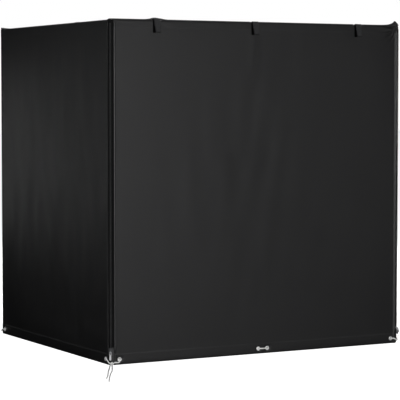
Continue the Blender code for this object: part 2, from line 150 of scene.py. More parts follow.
# Each soft box's name, place, what it points at, size and power in watts.
SOFT_BOXES = (
    ("front", (-1.4, -3.2, 0.62), (0.0, -0.2, 0.45), (2.0, 1.2), 80),
    ("key", (0.8, -2.2, 0.5), (-0.1, -0.37, 0.45), (0.7, 0.7), 4.8),
    ("rim", (-0.88, 1.30, 0.51), (-0.455, 0.28, 0.54), (0.3, 0.2), 0.44),
    ("edge", (-0.9, 2.7, 2.1), (-0.455, 0.0, 0.9), (0.6, 0.3), 1.5),
    ("left_fill", (-3.5, 0.6, 0.6), (-0.455, 0.0, 0.5), (2.0, 1.0), 9),
    ("top", (0.0, 0.3, 3.2), (0.0, 0.0, 0.0), (2.6, 2.6), 60),
    ("right_fill", (3.0, 0.4, 1.2), (0.455, 0.0, 0.5), (2.0, 1.6), 60),
    ("back_fill", (0.9, 3.2, 1.1), (0.2, 0.37, 0.35), (1.8, 0.9), 28),
)


# ---------------------------------------------------------------- camera, light, floor


def linked(name, data):
    """A new object that holds the data, in the scene."""
    made = bpy.data.objects.new(name, data)
    bpy.context.scene.collection.objects.link(made)
    return made


def centre(name):
    """The middle of a CAD node's box."""
    low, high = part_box(name)
    return (low + high) / 2


def add_camera():
    data = bpy.data.cameras.new("camera")
    data.lens = 159.8
    data.sensor_width = 36.0
    camera = linked("camera", data)
    camera.location = (-2.457, -4.5117, 0.6894)
    camera.rotation_euler = (math.radians(86.8), 0, math.radians(-28.71))
    bpy.context.scene.camera = camera


def add_area(name, place, target, size, power):
    data = bpy.data.lights.new(name, "AREA")
    data.shape = "RECTANGLE"
    data.size, data.size_y = size
    data.energy = power
    light = linked(name, data)
    light.location = place
    light.rotation_euler = (Vector(target) - Vector(place)).to_track_quat("-Z", "Y").to_euler()
    light.visible_camera = False


def add_studio():
    """A white room that only the camera sees, soft boxes that light the tent, and a pale floor."""
    world = bpy.data.worlds.new("studio")
    world.use_nodes = True
    world.node_tree.nodes["Background"].inputs["Color"].default_value = (1, 1, 1, 1)
    world.node_tree.nodes["Background"].inputs["Strength"].default_value = 1.0
    world.cycles_visibility.diffuse = False
    world.cycles_visibility.glossy = False
    bpy.context.scene.world = world

    for soft_box in SOFT_BOXES:
        add_area(*soft_box)

    size = 30.0
    corners = [(-size, -size, 0), (size, -size, 0), (size, size, 0), (-size, size, 0)]
    floor = mesh_object("floor", corners, [(0, 1, 2, 3)], smooth=False)
    floor.data.materials.append(floor_material())
    floor.visible_diffuse = False
    floor.visible_glossy = False
    floor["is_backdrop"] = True


# ---------------------------------------------------------------- mesh helpers


def mesh_object(name, points, faces, uvs=None, smooth=True):
    """An object from points and faces, with one UV pair for each face corner, in metres of cloth."""
    mesh = bpy.data.meshes.new(name)
    mesh.from_pydata([tuple(p) for p in points], [], faces)
    if uvs is not None:
        layer = mesh.uv_layers.new(name="cloth")
        layer.data.foreach_set("uv", np.asarray(uvs, np.float32).ravel())
    if smooth:
        mesh.shade_smooth()
    return linked(name, mesh)


def grid_quads(rows, columns, ring_rows=False, ring_columns=False):
    """The faces of a grid, as corner numbers. A ring joins its last row or column to its first."""
    i = np.arange(rows if ring_rows else rows - 1)[:, None]
    j = np.arange(columns if ring_columns else columns - 1)
    low, high = i * columns, (i + 1) % rows * columns
    after = (j + 1) % columns
    return np.stack([low + j, high + j, high + after, low + after], -1).reshape(-1, 4)


def placed(piece, finish, body, slot, *nodes):
    """Gives a piece its material and its body, and hides the CAD nodes it stands for. Its slot is not used.
    """
    if finish is not None:
        piece.data.materials.append(finish)
    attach(piece, body)
    if nodes:
        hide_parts(*nodes)
    return piece


def finished_mesh(piece):
    """A new mesh of the piece, with its curve or modifier worked out."""
    bpy.context.view_layer.update()
    graph = bpy.context.evaluated_depsgraph_get()
    return bpy.data.meshes.new_from_object(piece.evaluated_get(graph))


def merged(name, pieces):
    """One object from several, which are removed."""
    bm = bmesh.new()
    for piece in pieces:
        mesh = finished_mesh(piece)
        mesh.transform(piece.matrix_world)
        bm.from_mesh(mesh)
        bpy.data.meshes.remove(mesh)
        bpy.data.objects.remove(piece)
    bmesh.ops.recalc_face_normals(bm, faces=bm.faces)
    made = bpy.data.meshes.new(name)
    bm.to_mesh(made)
    bm.free()
    made.shade_smooth()
    made.set_sharp_from_angle(angle=math.radians(40))
    return linked(name, made)


def ramp(x, low, high):
    """0 below low, 1 above high, and smooth between."""
    t = np.clip((np.asarray(x, float) - low) / (high - low), 0, 1)
    return t * t * (3 - 2 * t)


def frames_along(points, closed):
    """Side and up vectors along a line, carried along it without twisting."""
    if closed:
        tangents = np.roll(points, -1, 0) - np.roll(points, 1, 0)
    else:
        tangents = np.gradient(points, axis=0)
    tangents /= np.linalg.norm(tangents, axis=1)[:, None]
    start = np.cross(tangents[0], (0, 0, 1) if abs(tangents[0][2]) < 0.9 else (0, 1, 0))
    sides = [start / np.linalg.norm(start)]
    for tangent in tangents[1:]:
        side = sides[-1] - tangent * (sides[-1] @ tangent)
        sides.append(side / np.linalg.norm(side))
    sides = np.array(sides)
    ups = np.cross(tangents, sides)
    if closed:
        last = sides[-1] - tangents[0] * (sides[-1] @ tangents[0])
        twist = math.atan2(last @ ups[0], last @ sides[0])
        turn = -twist * np.arange(len(points))[:, None] / len(points)
        sides, ups = sides * np.cos(turn) + ups * np.sin(turn), ups * np.cos(turn) - sides * np.sin(turn)
    return sides, ups


def sweep(name, points, outline, closed=False, scales=None):
    """A bar along a line. outline holds the (side, up) points of its section."""
    points = np.asarray([tuple(p) for p in points], float)
    outline = np.asarray(outline, float)
    sides, ups = frames_along(points, closed)
    scale = np.ones(len(points)) if scales is None else np.asarray(scales, float)
    across = sides[:, None] * outline[None, :, :1] + ups[:, None] * outline[None, :, 1:]
    rings = points[:, None] + across * scale[:, None, None]
    n, m = len(points), len(outline)
    steps = np.linalg.norm(np.diff(points, axis=0, append=points[:1]), axis=1)
    along = np.concatenate([[0], np.cumsum(steps)])
    edges = np.linalg.norm(np.diff(outline, axis=0, append=outline[:1]), axis=1)
    around = np.concatenate([[0], np.cumsum(edges)])
    i, j = np.meshgrid(np.arange(n if closed else n - 1), np.arange(m), indexing="ij")
    u0, u1, v0, v1 = along[i], along[i + 1], around[j], around[j + 1]
    uvs = np.stack([u0, v0, u1, v0, u1, v1, u0, v1], -1).reshape(-1, 2)
    faces = grid_quads(n, m, closed, True).tolist()
    if not closed:
        faces += [list(range(m)), list(range((n - 1) * m, n * m))]
        uvs = np.concatenate([uvs, np.zeros((2 * m, 2))])
    return outward(mesh_object(name, rings.reshape(-1, 3), faces, uvs))


def outward(piece):
    """Turns a closed piece's faces outwards."""
    bm = bmesh.new()
    bm.from_mesh(piece.data)
    bmesh.ops.recalc_face_normals(bm, faces=bm.faces)
    bm.to_mesh(piece.data)
    bm.free()
    return piece


def circle(radius, sides):
    turns = [2 * math.pi * k / sides for k in range(sides)]
    return [(radius * math.cos(a), radius * math.sin(a)) for a in turns]


def rounded_box(width, height, radius, steps=3):
    """The outline of a rectangle with round corners, about its middle."""
    points = []
    for x, y, start in ((1, 1, 0), (-1, 1, 90), (-1, -1, 180), (1, -1, 270)):
        for step in range(steps + 1):
            a = math.radians(start + 90 * step / steps)
            cx, cy = x * (width / 2 - radius), y * (height / 2 - radius)
            points.append((cx + radius * math.cos(a), cy + radius * math.sin(a)))
    return points


def strap_outline(width, thickness):
    """The outline of a strap, with points across its width so that it can curl."""
    half = width / 2 - 0.0005
    places = np.linspace(half, -half, 15)
    upper = [(x, thickness / 2) for x in places]
    lower = [(x, -thickness / 2) for x in places[::-1]]
    return [(width / 2, 0), *upper, (-width / 2, 0), *lower]


def lathe(name, profile, sides):
    """A closed profile of (radius, height) points, turned about Z."""
    points = [(r * x, r * y, z) for x, y in circle(1, sides) for r, z in profile]
    faces = grid_quads(sides, len(profile), True, True).tolist()
    made = outward(mesh_object(name, points, faces))
    made.data.set_sharp_from_angle(angle=math.radians(50))
    return made


def plate(name, outlines, thickness, bevel):
    """A flat plate in X and Y, centred on Z = 0. The first outline is its rim, the others are holes."""
    curve = bpy.data.curves.new(name, "CURVE")
    curve.dimensions = "2D"
    curve.fill_mode = "BOTH"
    curve.extrude = thickness / 2 - bevel
    curve.bevel_depth = bevel
    curve.bevel_resolution = 2
    curve.offset = -bevel
    for outline in outlines:
        spline = curve.splines.new("POLY")
        spline.points.add(len(outline) - 1)
        for place, (x, y) in zip(spline.points, outline):
            place.co = (x, y, 0, 1)
        spline.use_cyclic_u = True
    return linked(name, curve)


def smoothed(route, steps):
    """A smooth curve through the route's points, as a centripetal spline."""
    points = [Vector(p) for p in route]
    ends = [2 * points[0] - points[1], *points, 2 * points[-1] - points[-2]]
    line = []
    for a, b, c, d in zip(ends, ends[1:], ends[2:], ends[3:]):
        ta = 0.0
        tb = ta + (b - a).length ** 0.5
        tc = tb + (c - b).length ** 0.5
        td = tc + (d - c).length ** 0.5
        for step in range(steps):
            t = tb + (tc - tb) * step / steps
            ab = a * (tb - t) / (tb - ta) + b * (t - ta) / (tb - ta)
            bc = b * (tc - t) / (tc - tb) + c * (t - tb) / (tc - tb)
            cd = c * (td - t) / (td - tc) + d * (t - tc) / (td - tc)
            abc = ab * (tc - t) / (tc - ta) + bc * (t - ta) / (tc - ta)
            bcd = bc * (td - t) / (td - tb) + cd * (t - tb) / (td - tb)
            line.append(abc * (tc - t) / (tc - tb) + bcd * (t - tb) / (tc - tb))
    return [*line, points[-1]]


# ---------------------------------------------------------------- materials


class Finish:
    """A Principled material, with short calls that add and link its nodes."""

    def __init__(self, name, colour, roughness, metallic=0.0, specular=0.5):
        self.material = bpy.data.materials.new(name)
        self.material.use_nodes = True
        self.tree = self.material.node_tree
        self.shader = self.tree.nodes["Principled BSDF"]
        self.shader.inputs["Base Color"].default_value = (*colour, 1.0)
        self.shader.inputs["Roughness"].default_value = roughness
        self.shader.inputs["Metallic"].default_value = metallic
        self.shader.inputs["Specular IOR Level"].default_value = specular
        self.material.diffuse_color = (*colour, 1.0)

    def add(self, kind, settings=None, **inputs):
        node = self.tree.nodes.new(kind)
        for key, value in (settings or {}).items():
            setattr(node, key, value)
        for key, value in inputs.items():
            self.put(node.inputs[key.replace("_", " ")], value)
        return node

    def put(self, socket, value):
        if isinstance(value, bpy.types.NodeSocket):
            self.tree.links.new(value, socket)
        else:
            socket.default_value = value

    def math(self, operation, a, b=0.0, c=0.0):
        node = self.add("ShaderNodeMath", {"operation": operation})
        for socket, value in zip(node.inputs, (a, b, c)):
            self.put(socket, value)
        return node.outputs["Value"]

    def noise(self, vector, scale, detail=2.0, roughness=0.5):
        inputs = {"Vector": vector, "Scale": scale, "Detail": detail, "Roughness": roughness}
        return self.add("ShaderNodeTexNoise", **inputs).outputs["Fac"]

    def between(self, factor, low, high):
        """A number between low and high."""
        return self.add("ShaderNodeMapRange", Value=factor, To_Min=low, To_Max=high).outputs["Result"]

    def colour(self, factor, start, end):
        """A mix of two colours. The first may be another node's."""
        node = self.add("ShaderNodeMix", {"data_type": "RGBA"})
        start = start if isinstance(start, bpy.types.NodeSocket) else (*start, 1.0)
        for number, value in ((0, factor), (6, start), (7, (*end, 1.0))):
            self.put(node.inputs[number], value)
        return node.outputs[2]

    def bump(self, height, distance, strength):
        node = self.add("ShaderNodeBump", Height=height, Distance=distance, Strength=strength)
        return node.outputs["Normal"]

    def uv(self):
        return self.add("ShaderNodeUVMap", {"uv_map": "cloth"}).outputs["UV"]

    def object_point(self):
        return self.tree.nodes.new("ShaderNodeTexCoord").outputs["Object"]

    def done(self, colour=None, roughness=None, normal=None):
        for name, value in (("Base Color", colour), ("Roughness", roughness), ("Normal", normal)):
            if value is not None:
                self.put(self.shader.inputs[name], value)
        return self.material


def woven(name, dark, light, roughness, specular, pitch, relief, twill=False, metallic=0.0, with_painted_shade=False):
    """Woven cloth: threads of the given pitch along both directions of the cloth, patchy tone and sheen.

    With painted shade asked for, the cloth is painted near black and dull where its roll attribute is 1:
    painted shade on a curled edge and inside a loop.
    """
    f = Finish(name, light, roughness, metallic, specular)
    uv = f.uv()
    split = f.add("ShaderNodeSeparateXYZ", Vector=uv)
    u = f.math("MULTIPLY", split.outputs["X"], 2 * math.pi / pitch)
    v = f.math("MULTIPLY", split.outputs["Y"], 2 * math.pi / pitch)
    if twill:
        weave = f.math("SINE", f.math("ADD", f.math("MULTIPLY", u, 0.5), v))
    else:
        weave = f.math("MULTIPLY", f.math("SINE", u), f.math("SINE", v))
    streak_point = f.add("ShaderNodeMapping", Vector=uv, Scale=(1.0, 0.12, 1.0))
    streaks = f.noise(streak_point.outputs["Vector"], 90.0, 3.0)
    patches = f.noise(uv, 7.0, 4.0, 0.6)
    slubs = f.noise(uv, 900.0, 1.0)
    tone = f.math("MULTIPLY_ADD", patches, 0.55, f.math("MULTIPLY", streaks, 0.25))
    tone = f.math("MULTIPLY_ADD", slubs, 0.20, tone)
    tone = f.math("MULTIPLY_ADD", weave, 0.10, tone)
    height = f.math("MULTIPLY_ADD", slubs, 0.35, weave)
    colour = f.colour(tone, dark, light)
    if with_painted_shade:
        # Painted shade: near-black colour and little sheen where the roll attribute is 1.
        roll = f.add("ShaderNodeAttribute", {"attribute_name": "roll"}).outputs["Fac"]
        colour = f.colour(roll, colour, (0.0012, 0.0012, 0.0013))
        f.put(f.shader.inputs["Specular IOR Level"], f.between(roll, specular, 0.02))
    return f.done(
        colour=colour,
        roughness=f.between(patches, roughness - 0.06, roughness + 0.06),
        normal=f.bump(height, relief, 0.7),
    )


def braided(name, dark, light):
    """White braided cord: strands that cross in a diamond pattern."""
    f = Finish(name, light, 0.75, 0.0, 0.3)
    split = f.add("ShaderNodeSeparateXYZ", Vector=f.uv())
    along = f.math("MULTIPLY", split.outputs["X"], 2 * math.pi / 0.0026)
    around = f.math("MULTIPLY", split.outputs["Y"], 8.0 / (2 * CORD_R))
    one = f.math("SINE", f.math("ADD", along, around))
    other = f.math("SINE", f.math("SUBTRACT", along, around))
    strands = f.math("MAXIMUM", one, other)
    fluff = f.noise(f.object_point(), 1500.0, 2.0)
    tone = f.math("MULTIPLY_ADD", strands, 0.35, f.math("MULTIPLY", fluff, 0.6))
    return f.done(colour=f.colour(tone, dark, light), normal=f.bump(strands, 0.00022, 0.8))


def solid_finish(name, dark, light, roughness, metallic, scale, relief):
    """Metal, paint or plastic, with fine grain and worn patches."""
    f = Finish(name, light, roughness, metallic)
    point = f.object_point()
    grain = f.noise(point, scale, 3.0, 0.6)
    wear = f.noise(point, scale / 12, 4.0, 0.65)
    tone = f.math("MULTIPLY_ADD", grain, 0.5, f.math("MULTIPLY", wear, 0.5))
    return f.done(
        colour=f.colour(tone, dark, light),
        roughness=f.between(wear, roughness - 0.08, roughness + 0.12),
        normal=f.bump(grain, relief, 0.5),
    )


def floor_material():
    """Pale studio floor, bright enough to meet the white background."""
    f = Finish("pale_floor", (0.86, 0.86, 0.86), 0.9, 0.0, 0.2)
    f.shader.inputs["Emission Color"].default_value = (1, 1, 1, 1)
    f.shader.inputs["Emission Strength"].default_value = 0.93
    speckle = f.noise(f.object_point(), 60.0, 3.0)
    return f.done(colour=f.colour(speckle, (0.84, 0.84, 0.84), (0.88, 0.88, 0.88)))


def grey(value, tint=0.0):
    return (value, value, value + tint)


def make_materials():
    cloths = {
        "cloth": ("cover_cloth", grey(0.006, 0.0003), grey(0.013, 0.0006), 0.38, 0.40, 0.0009, 0.00010),
        "lining": ("cover_lining", grey(0.30, 0.01), grey(0.42, 0.01), 0.45, 0.5, 0.0009, 0.00008),
        # The binding is lighter than the cover cloth: painted highlight along the welt, rim, tucks and door
        # beads, besides its glossier finish.
        "binding": ("edge_binding_painted_highlight", grey(0.012, 0.0005), grey(0.024, 0.001), 0.32, 0.55, 0.0009, 0.00005),
        "webbing": ("tab_webbing", grey(0.010, 0.001), grey(0.026, 0.002), 0.65, 0.30, 0.0016, 0.00025),
        "tape": ("zip_tape", grey(0.0020, 0.0001), grey(0.0050, 0.0002), 0.75, 0.10, 0.0010, 0.00012),
    }
    extras = {"lining": {"metallic": 0.4}, "tape": {"twill": True}}
    # The tab webbing carries painted shade on its curled edge and inside its loop.
    extras["webbing"] = {"twill": True, "with_painted_shade": True}
    solids = {
        "coil": ("zip_coil", grey(0.012, 0.0005), grey(0.026, 0.001), 0.40, 0.0, 900, 0.00003),
        "thread": ("sewing_thread", grey(0.012, 0.001), grey(0.040, 0.002), 0.6, 0.0, 2500, 0.00005),
        "slider": ("slider_metal", grey(0.10, 0.005), grey(0.20, 0.01), 0.35, 0.9, 700, 0.00003),
        "puller": ("puller_metal", grey(0.70, 0.01), grey(0.90), 0.34, 0.35, 700, 0.00003),
        "eyelet": ("eyelet_metal", grey(0.76), grey(0.93, -0.01), 0.30, 0.45, 800, 0.00003),
        "steel": ("frame_paint", grey(0.56, 0.01), grey(0.72, 0.01), 0.35, 0.6, 500, 0.00003),
        "plastic": ("corner_plastic", grey(0.020, 0.001), grey(0.040, 0.002), 0.5, 0.0, 1500, 0.00006),
    }
    made = {key: woven(*values, **extras.get(key, {})) for key, values in cloths.items()}
    made.update((key, solid_finish(*values)) for key, values in solids.items())
    # The tails take a darker copy of the white lacing cord: painted shade.
    made["tail"] = braided("tail_braid", grey(0.50, -0.01), grey(0.80, -0.01))
    made["cord"] = braided("cord_braid", grey(0.66, -0.01), grey(0.93, -0.01))
    return made


# ---------------------------------------------------------------- free cords


def make_tails(finish):
    for name, node, route in (
        ("long_tail_braid", "long_cord_tail", LONG_TAIL),
        ("short_tail_braid", "short_cord_tail", SHORT_TAIL),
    ):
        line = np.array([tuple(p) for p in smoothed(route, 8)])
        scales = np.ones(len(line))
        scales[-1] = 0.86
        tail = sweep(name, line, circle(CORD_R, 16), scales=scales)
        placed(tail, finish, "tent_body", "cord_white", node)
        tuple(route[0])


# ---------------------------------------------------------------- cloth


def first_ripple(wall, u, v):
    """A faint ripple, with crests that run mostly up the wall, for the cloth to fold along."""
    chance = np.random.default_rng(wall.seed)
    ripple = np.zeros(len(u))
    for _ in range(14):
        across, up, phase = chance.uniform((40, -22, 0), (120, 22, 2 * math.pi))
        ripple += 0.0009 * np.sin(across * u + up * v + phase)
    return ripple * np.sin(np.pi * u / wall.width) * np.sin(np.pi * v / wall.height)


def hanging_sheet(wall):
    """A flat sheet for the wall, with Cloth on it, cut a little wider than its frame and pinned all round.

    Returns the sheet and the shape of its grid.
    """
    shape = round(wall.width / SIM_STEP) + 1, round(wall.height / SIM_STEP) + 1
    sides = (np.linspace(0, length, n) for length, n in zip((wall.width, wall.height), shape))
    u, v = (g.ravel() for g in np.meshgrid(*sides, indexing="ij"))
    ripple = first_ripple(wall, u, v)
    start = np.stack([u, v, ripple] if wall.level else [u, ripple, v], -1)
    sheet = mesh_object(wall.name + "_hanging", start, grid_quads(*shape).tolist())
    edge = (u == 0) | (v == 0) | (u == u.max()) | (v == v.max())
    sheet.vertex_groups.new(name="seams").add(np.flatnonzero(edge).tolist(), 1.0, "REPLACE")
    sheet.shape_key_add(name="hung")
    cut = sheet.shape_key_add(name="cut")
    middle = np.array([wall.width / 2, 0, 0])
    for place, point in zip(cut.data, middle + (start - middle) * np.array([1 + wall.slack, 1, 1])):
        place.co = point
    modifier = sheet.modifiers.new("cloth", "CLOTH")
    for name, value in CLOTH_SETTINGS.items():
        setattr(modifier.settings, name, value)
    modifier.settings.rest_shape_key = cut
    modifier.settings.effector_weights.gravity = 1.0 if wall.level else 0.06
    modifier.collision_settings.use_collision = False
    modifier.point_cache.frame_start = 1
    modifier.point_cache.frame_end = SIM_FRAMES
    return sheet, shape


def hang_cloth(walls):
    """Simulates each wall's cloth as it hangs from its seams.

    Returns for each wall the distance of its cloth from the flat, on the simulated grid.
    """
    hung = [(wall, *hanging_sheet(wall)) for wall in walls]
    for step in range(1, SIM_FRAMES + 1):
        bpy.context.scene.frame_set(step)
    graph = bpy.context.evaluated_depsgraph_get()
    found = {}
    for wall, sheet, shape in hung:
        shaped = sheet.evaluated_get(graph).data
        points = np.empty(len(shaped.vertices) * 3, np.float32)
        shaped.vertices.foreach_get("co", points)
        off = points.reshape(*shape, 3)[..., 2 if wall.level else 1].astype(float)
        found[wall.name] = soft(off if wall.level else -off)
    for _, sheet, _ in hung:
        bpy.data.objects.remove(sheet)
    bpy.context.scene.frame_set(1)
    return found


def soft(field):
    """The field without its finest ripples. Its border stays where it is."""
    smooth = field.copy()
    for _ in range(2):
        inner = 4 * smooth[1:-1, 1:-1]
        inner += 2 * (smooth[2:, 1:-1] + smooth[:-2, 1:-1] + smooth[1:-1, 2:] + smooth[1:-1, :-2])
        inner += smooth[2:, 2:] + smooth[:-2, 2:] + smooth[2:, :-2] + smooth[:-2, :-2]
        smooth[1:-1, 1:-1] = inner / 16
    return smooth


def sampled(field, width, height, u, v):
    """The field's value at points of the cloth, between the points of its grid."""
    nu, nv = field.shape
    x = np.clip(u / width, 0, 1) * (nu - 1)
    y = np.clip(v / height, 0, 1) * (nv - 1)
    i = np.minimum(x.astype(int), nu - 2)
    j = np.minimum(y.astype(int), nv - 2)
    fx, fy = x - i, y - j
    low = field[i, j] * (1 - fx) + field[i + 1, j] * fx
    high = field[i, j + 1] * (1 - fx) + field[i + 1, j + 1] * fx
    return low * (1 - fy) + high * fy


class Wall:
    """One panel of the cover, over u along it and v up it. Wrinkles and relief stand out from its face.

    It is cut wider than its frame by the share slack. Its wrinkles stand out by about swell, and by
    limit at most.
    """

    level = False

    def __init__(self, name, origin, along, width, slack, seed, swell, limit, relief):
        self.name = name
        self.origin = np.array(origin, float)
        self.along = np.array(along, float)
        self.normal = np.cross(self.along, (0, 0, 1))
        self.width = width
        self.height = WALL_TOP - HEM_Z
        self.slack = slack
        self.seed = seed
        self.swell = swell
        self.limit = limit
        self.relief = relief
        self.field = np.zeros((2, 2))

    def set_field(self, field):
        spread = float(field.std())
        if spread:
            self.field = self.limit * np.tanh(field * self.swell / spread / self.limit)

    def out(self, u, v):
        tight = 0.25 + 0.75 * ramp(WALL_TOP - v, 0.03, 0.22)
        wrinkles = sampled(self.field, self.width, self.height, u, v - HEM_Z)
        return tight * wrinkles + self.relief(u, v, self.width)

    def at(self, u, v, lift=0.0):
        out = self.out(u, v) + lift
        up = np.array([0, 0, 1.0])
        return self.origin + np.outer(u, self.along) + np.outer(out, self.normal) + np.outer(v, up)


class BackWall(Wall):
    """The back panel, which turns forward round both back corners."""

    def at(self, u, v, lift=0.0):
        run = np.clip(u - QUARTER_BEND, 0, 2 * BEND_X)
        angle = (u - run) / BEND_R
        radius = BEND_R + self.out(u, v) + lift
        x = BEND_X - run + radius * np.cos(angle)
        y = BEND_Y + radius * np.sin(angle)
        return np.stack([x, y, v], -1)


def hems(v):
    """The folded hems along the bottom and the top of a wall."""
    out = 0.0006 * (1 - ramp(v, BOTTOM_HEM, BOTTOM_HEM + 0.0012))
    out -= 0.0008 * (1 - ramp(v, HEM_Z, HEM_Z + 0.0020))
    out += 0.0002 * ramp(v, WALL_TOP - TOP_HEM - 0.0030, WALL_TOP - TOP_HEM)
    out -= 0.0009 * ramp(v, WALL_TOP - 0.0022, WALL_TOP)
    return out


def seam_ridge(edge, width, height):
    """A folded edge: a raised band of the given width along a side."""
    return height * (ramp(edge, 0, 0.0010) - ramp(edge, width - 0.0012, width))


def side_relief(u, v, width):
    return hems(v) + seam_ridge(np.minimum(u, width - u), 0.0075, 0.0006)


def hems_only(u, v, width):
    return hems(v)


def door_relief(u, v, width):
    """Hems, the raised side edges, two faint creases, and the folds that gather at the top right corner."""
    edge = np.minimum(u, width - u)
    below = 1 - ramp(v, WALL_TOP - 0.022, WALL_TOP - 0.012)
    keep = np.where(u > width / 2, below, 1.0)
    out = hems(v) + seam_ridge(edge, EDGE_HEM, 0.0014) * keep
    for place, depth in CREASES:
        lean = place + 0.02 * (WALL_TOP - v)
        fade = ramp(v, 0.66, 0.84) * (1 - 0.6 * ramp(v, 0.86, WALL_TOP))
        out += depth * fade * np.exp(-(((u - lean) / 0.011) ** 2))
    across, down = width - u, WALL_TOP - v
    reach = np.hypot(across, down)
    angle = np.arctan2(down, across)
    pucker = np.exp(-((reach / 0.034) ** 2)) * ramp(reach, 0.002, 0.010)
    out += 0.0032 * pucker * np.sin(17 * angle + 120 * reach) * ramp(across, 0.006, 0.013)
    band = np.exp(-((across / 0.11) ** 2)) * np.exp(-(((down - 0.010) / 0.008) ** 2))
    out += 0.0006 * band * np.sin(2 * math.pi * down / 0.009 + 12 * across)
    return out


def grid_lines(low, high, step, marks=()):
    """Places from low to high, no further apart than the step, with every mark that stands apart."""
    kept = []
    for mark in sorted(marks):
        if not kept or mark - kept[-1] > 0.0004:
            kept.append(float(mark))
    stops = sorted({low, high, *(m for m in kept if low + 1e-5 < m < high - 1e-5)})
    lines = []
    for a, b in zip(stops, stops[1:]):
        count = max(1, math.ceil((b - a) / step - 1e-6))
        lines += list(np.linspace(a, b, count, endpoint=False))
    return np.array([*lines, high])


def surface(name, us, vs, at, holes=()):
    """A sheet over a grid of cloth places. A hole is a ring round its centre, which is on the grid."""
    u, v = (g.ravel().copy() for g in np.meshgrid(us, vs, indexing="ij"))
    cut = np.zeros(len(u), bool)
    for hu, hv in holes:
        du, dv = u - hu, v - hv
        near = (abs(du) < HOLE_MARK * 1.01) & (abs(dv) < HOLE_MARK * 1.01)
        reach = np.hypot(du, dv)
        middle = near & (reach < 1e-6)
        cut |= middle
        ring = near & ~middle
        u[ring] = hu + du[ring] / reach[ring] * HOLE_R
        v[ring] = hv + dv[ring] / reach[ring] * HOLE_R
    quads = grid_quads(len(us), len(vs))
    quads = quads[~cut[quads].any(1)]
    used = np.unique(quads)
    renumber = np.zeros(len(u), int)
    renumber[used] = np.arange(len(used))
    points = at(u[used], v[used])
    uvs = np.stack([u[quads], v[quads]], -1).reshape(-1, 2)
    return mesh_object(name, points, renumber[quads].tolist(), uvs)


def thicken(piece, thickness, finishes):
    """Gives a sheet its thickness, inwards, with the second finish on its inner face."""
    for finish in finishes:
        piece.data.materials.append(finish)
    modifier = piece.modifiers.new("thickness", "SOLIDIFY")
    modifier.thickness = thickness
    modifier.offset = -1
    modifier.material_offset = len(finishes) - 1
    modifier.use_rim = True
    mesh = finished_mesh(piece)
    mesh.name = piece.name
    piece.modifiers.clear()
    piece.data = mesh
    if len(finishes) > 1:
        turn_in_hems(mesh)
    return piece


def turn_in_hems(mesh):
    """Near the sheet's edges the inner face is the same cloth as the outer, folded in."""
    uvs = np.empty(len(mesh.loops) * 2, np.float32)
    mesh.uv_layers[0].data.foreach_get("uv", uvs)
    uvs = uvs.reshape(-1, 2)
    starts = np.empty(len(mesh.polygons), np.int32)
    mesh.polygons.foreach_get("loop_start", starts)
    linings = np.empty(len(mesh.polygons), np.int32)
    mesh.polygons.foreach_get("material_index", linings)
    inside = np.minimum(uvs - uvs.min(0), uvs.max(0) - uvs).min(1)[starts]
    linings[inside < TURNED_IN] = 0
    mesh.polygons.foreach_set("material_index", linings)


def stitches(name, at, runs, pitch=0.0042, length=0.0030, radius=0.00030):
    """Rows of thread on a wall's face. A run goes straight from one (u, v) to another."""
    middles = []
    ways = []
    for (u0, v0), (u1, v1) in runs:
        reach = math.hypot(u1 - u0, v1 - v0)
        count = max(1, int(reach / pitch))
        share = (np.arange(count) + 0.5) / count
        middles.append(np.stack([u0 + (u1 - u0) * share, v0 + (v1 - v0) * share], -1))
        ways.append(np.repeat([[(u1 - u0) / reach, (v1 - v0) / reach]], count, 0))
    middles, ways = np.concatenate(middles), np.concatenate(ways)
    ends = []
    for share in (-0.5, -0.32, 0.32, 0.5):
        place = middles + ways * length * share
        lift = radius * (0.55 if abs(share) < 0.4 else 0.0)
        ends.append(at(place[:, 0], place[:, 1], lift))
    rings = np.stack(ends, 1)
    tangent = rings[:, 3] - rings[:, 0]
    tangent /= np.linalg.norm(tangent, axis=1)[:, None]
    lifted = at(middles[:, 0], middles[:, 1], 0.001) - at(middles[:, 0], middles[:, 1], 0.0)
    normal = lifted / np.linalg.norm(lifted, axis=1)[:, None]
    side = np.cross(tangent, normal)
    sides = 6
    angles = 2 * math.pi * np.arange(sides)[:, None, None] / sides
    section = np.cos(angles) * side + np.sin(angles) * normal
    sizes = np.array([0.35, 1.0, 1.0, 0.35]) * radius
    points = rings[:, :, None] + section.transpose(1, 0, 2)[:, None] * sizes[None, :, None, None]
    per = 4 * sides
    one = [list(range(sides - 1, -1, -1)), list(range(3 * sides, per))]
    for ring in range(0, 3 * sides, sides):
        for k in range(sides):
            low, after = ring + k, ring + (k + 1) % sides
            one.append([low, after, after + sides, low + sides])
    faces = [[number * per + c for c in face] for number in range(len(middles)) for face in one]
    return outward(mesh_object(name, points.reshape(-1, 3), faces))


def eyelet_places(wall, names):
    """Where the wall's eyelets are, in the wall's own u and v."""
    middles = [np.array(centre(name)) for name in names]
    return [(float((middle - wall.origin) @ wall.along), float(middle[2])) for middle in middles]


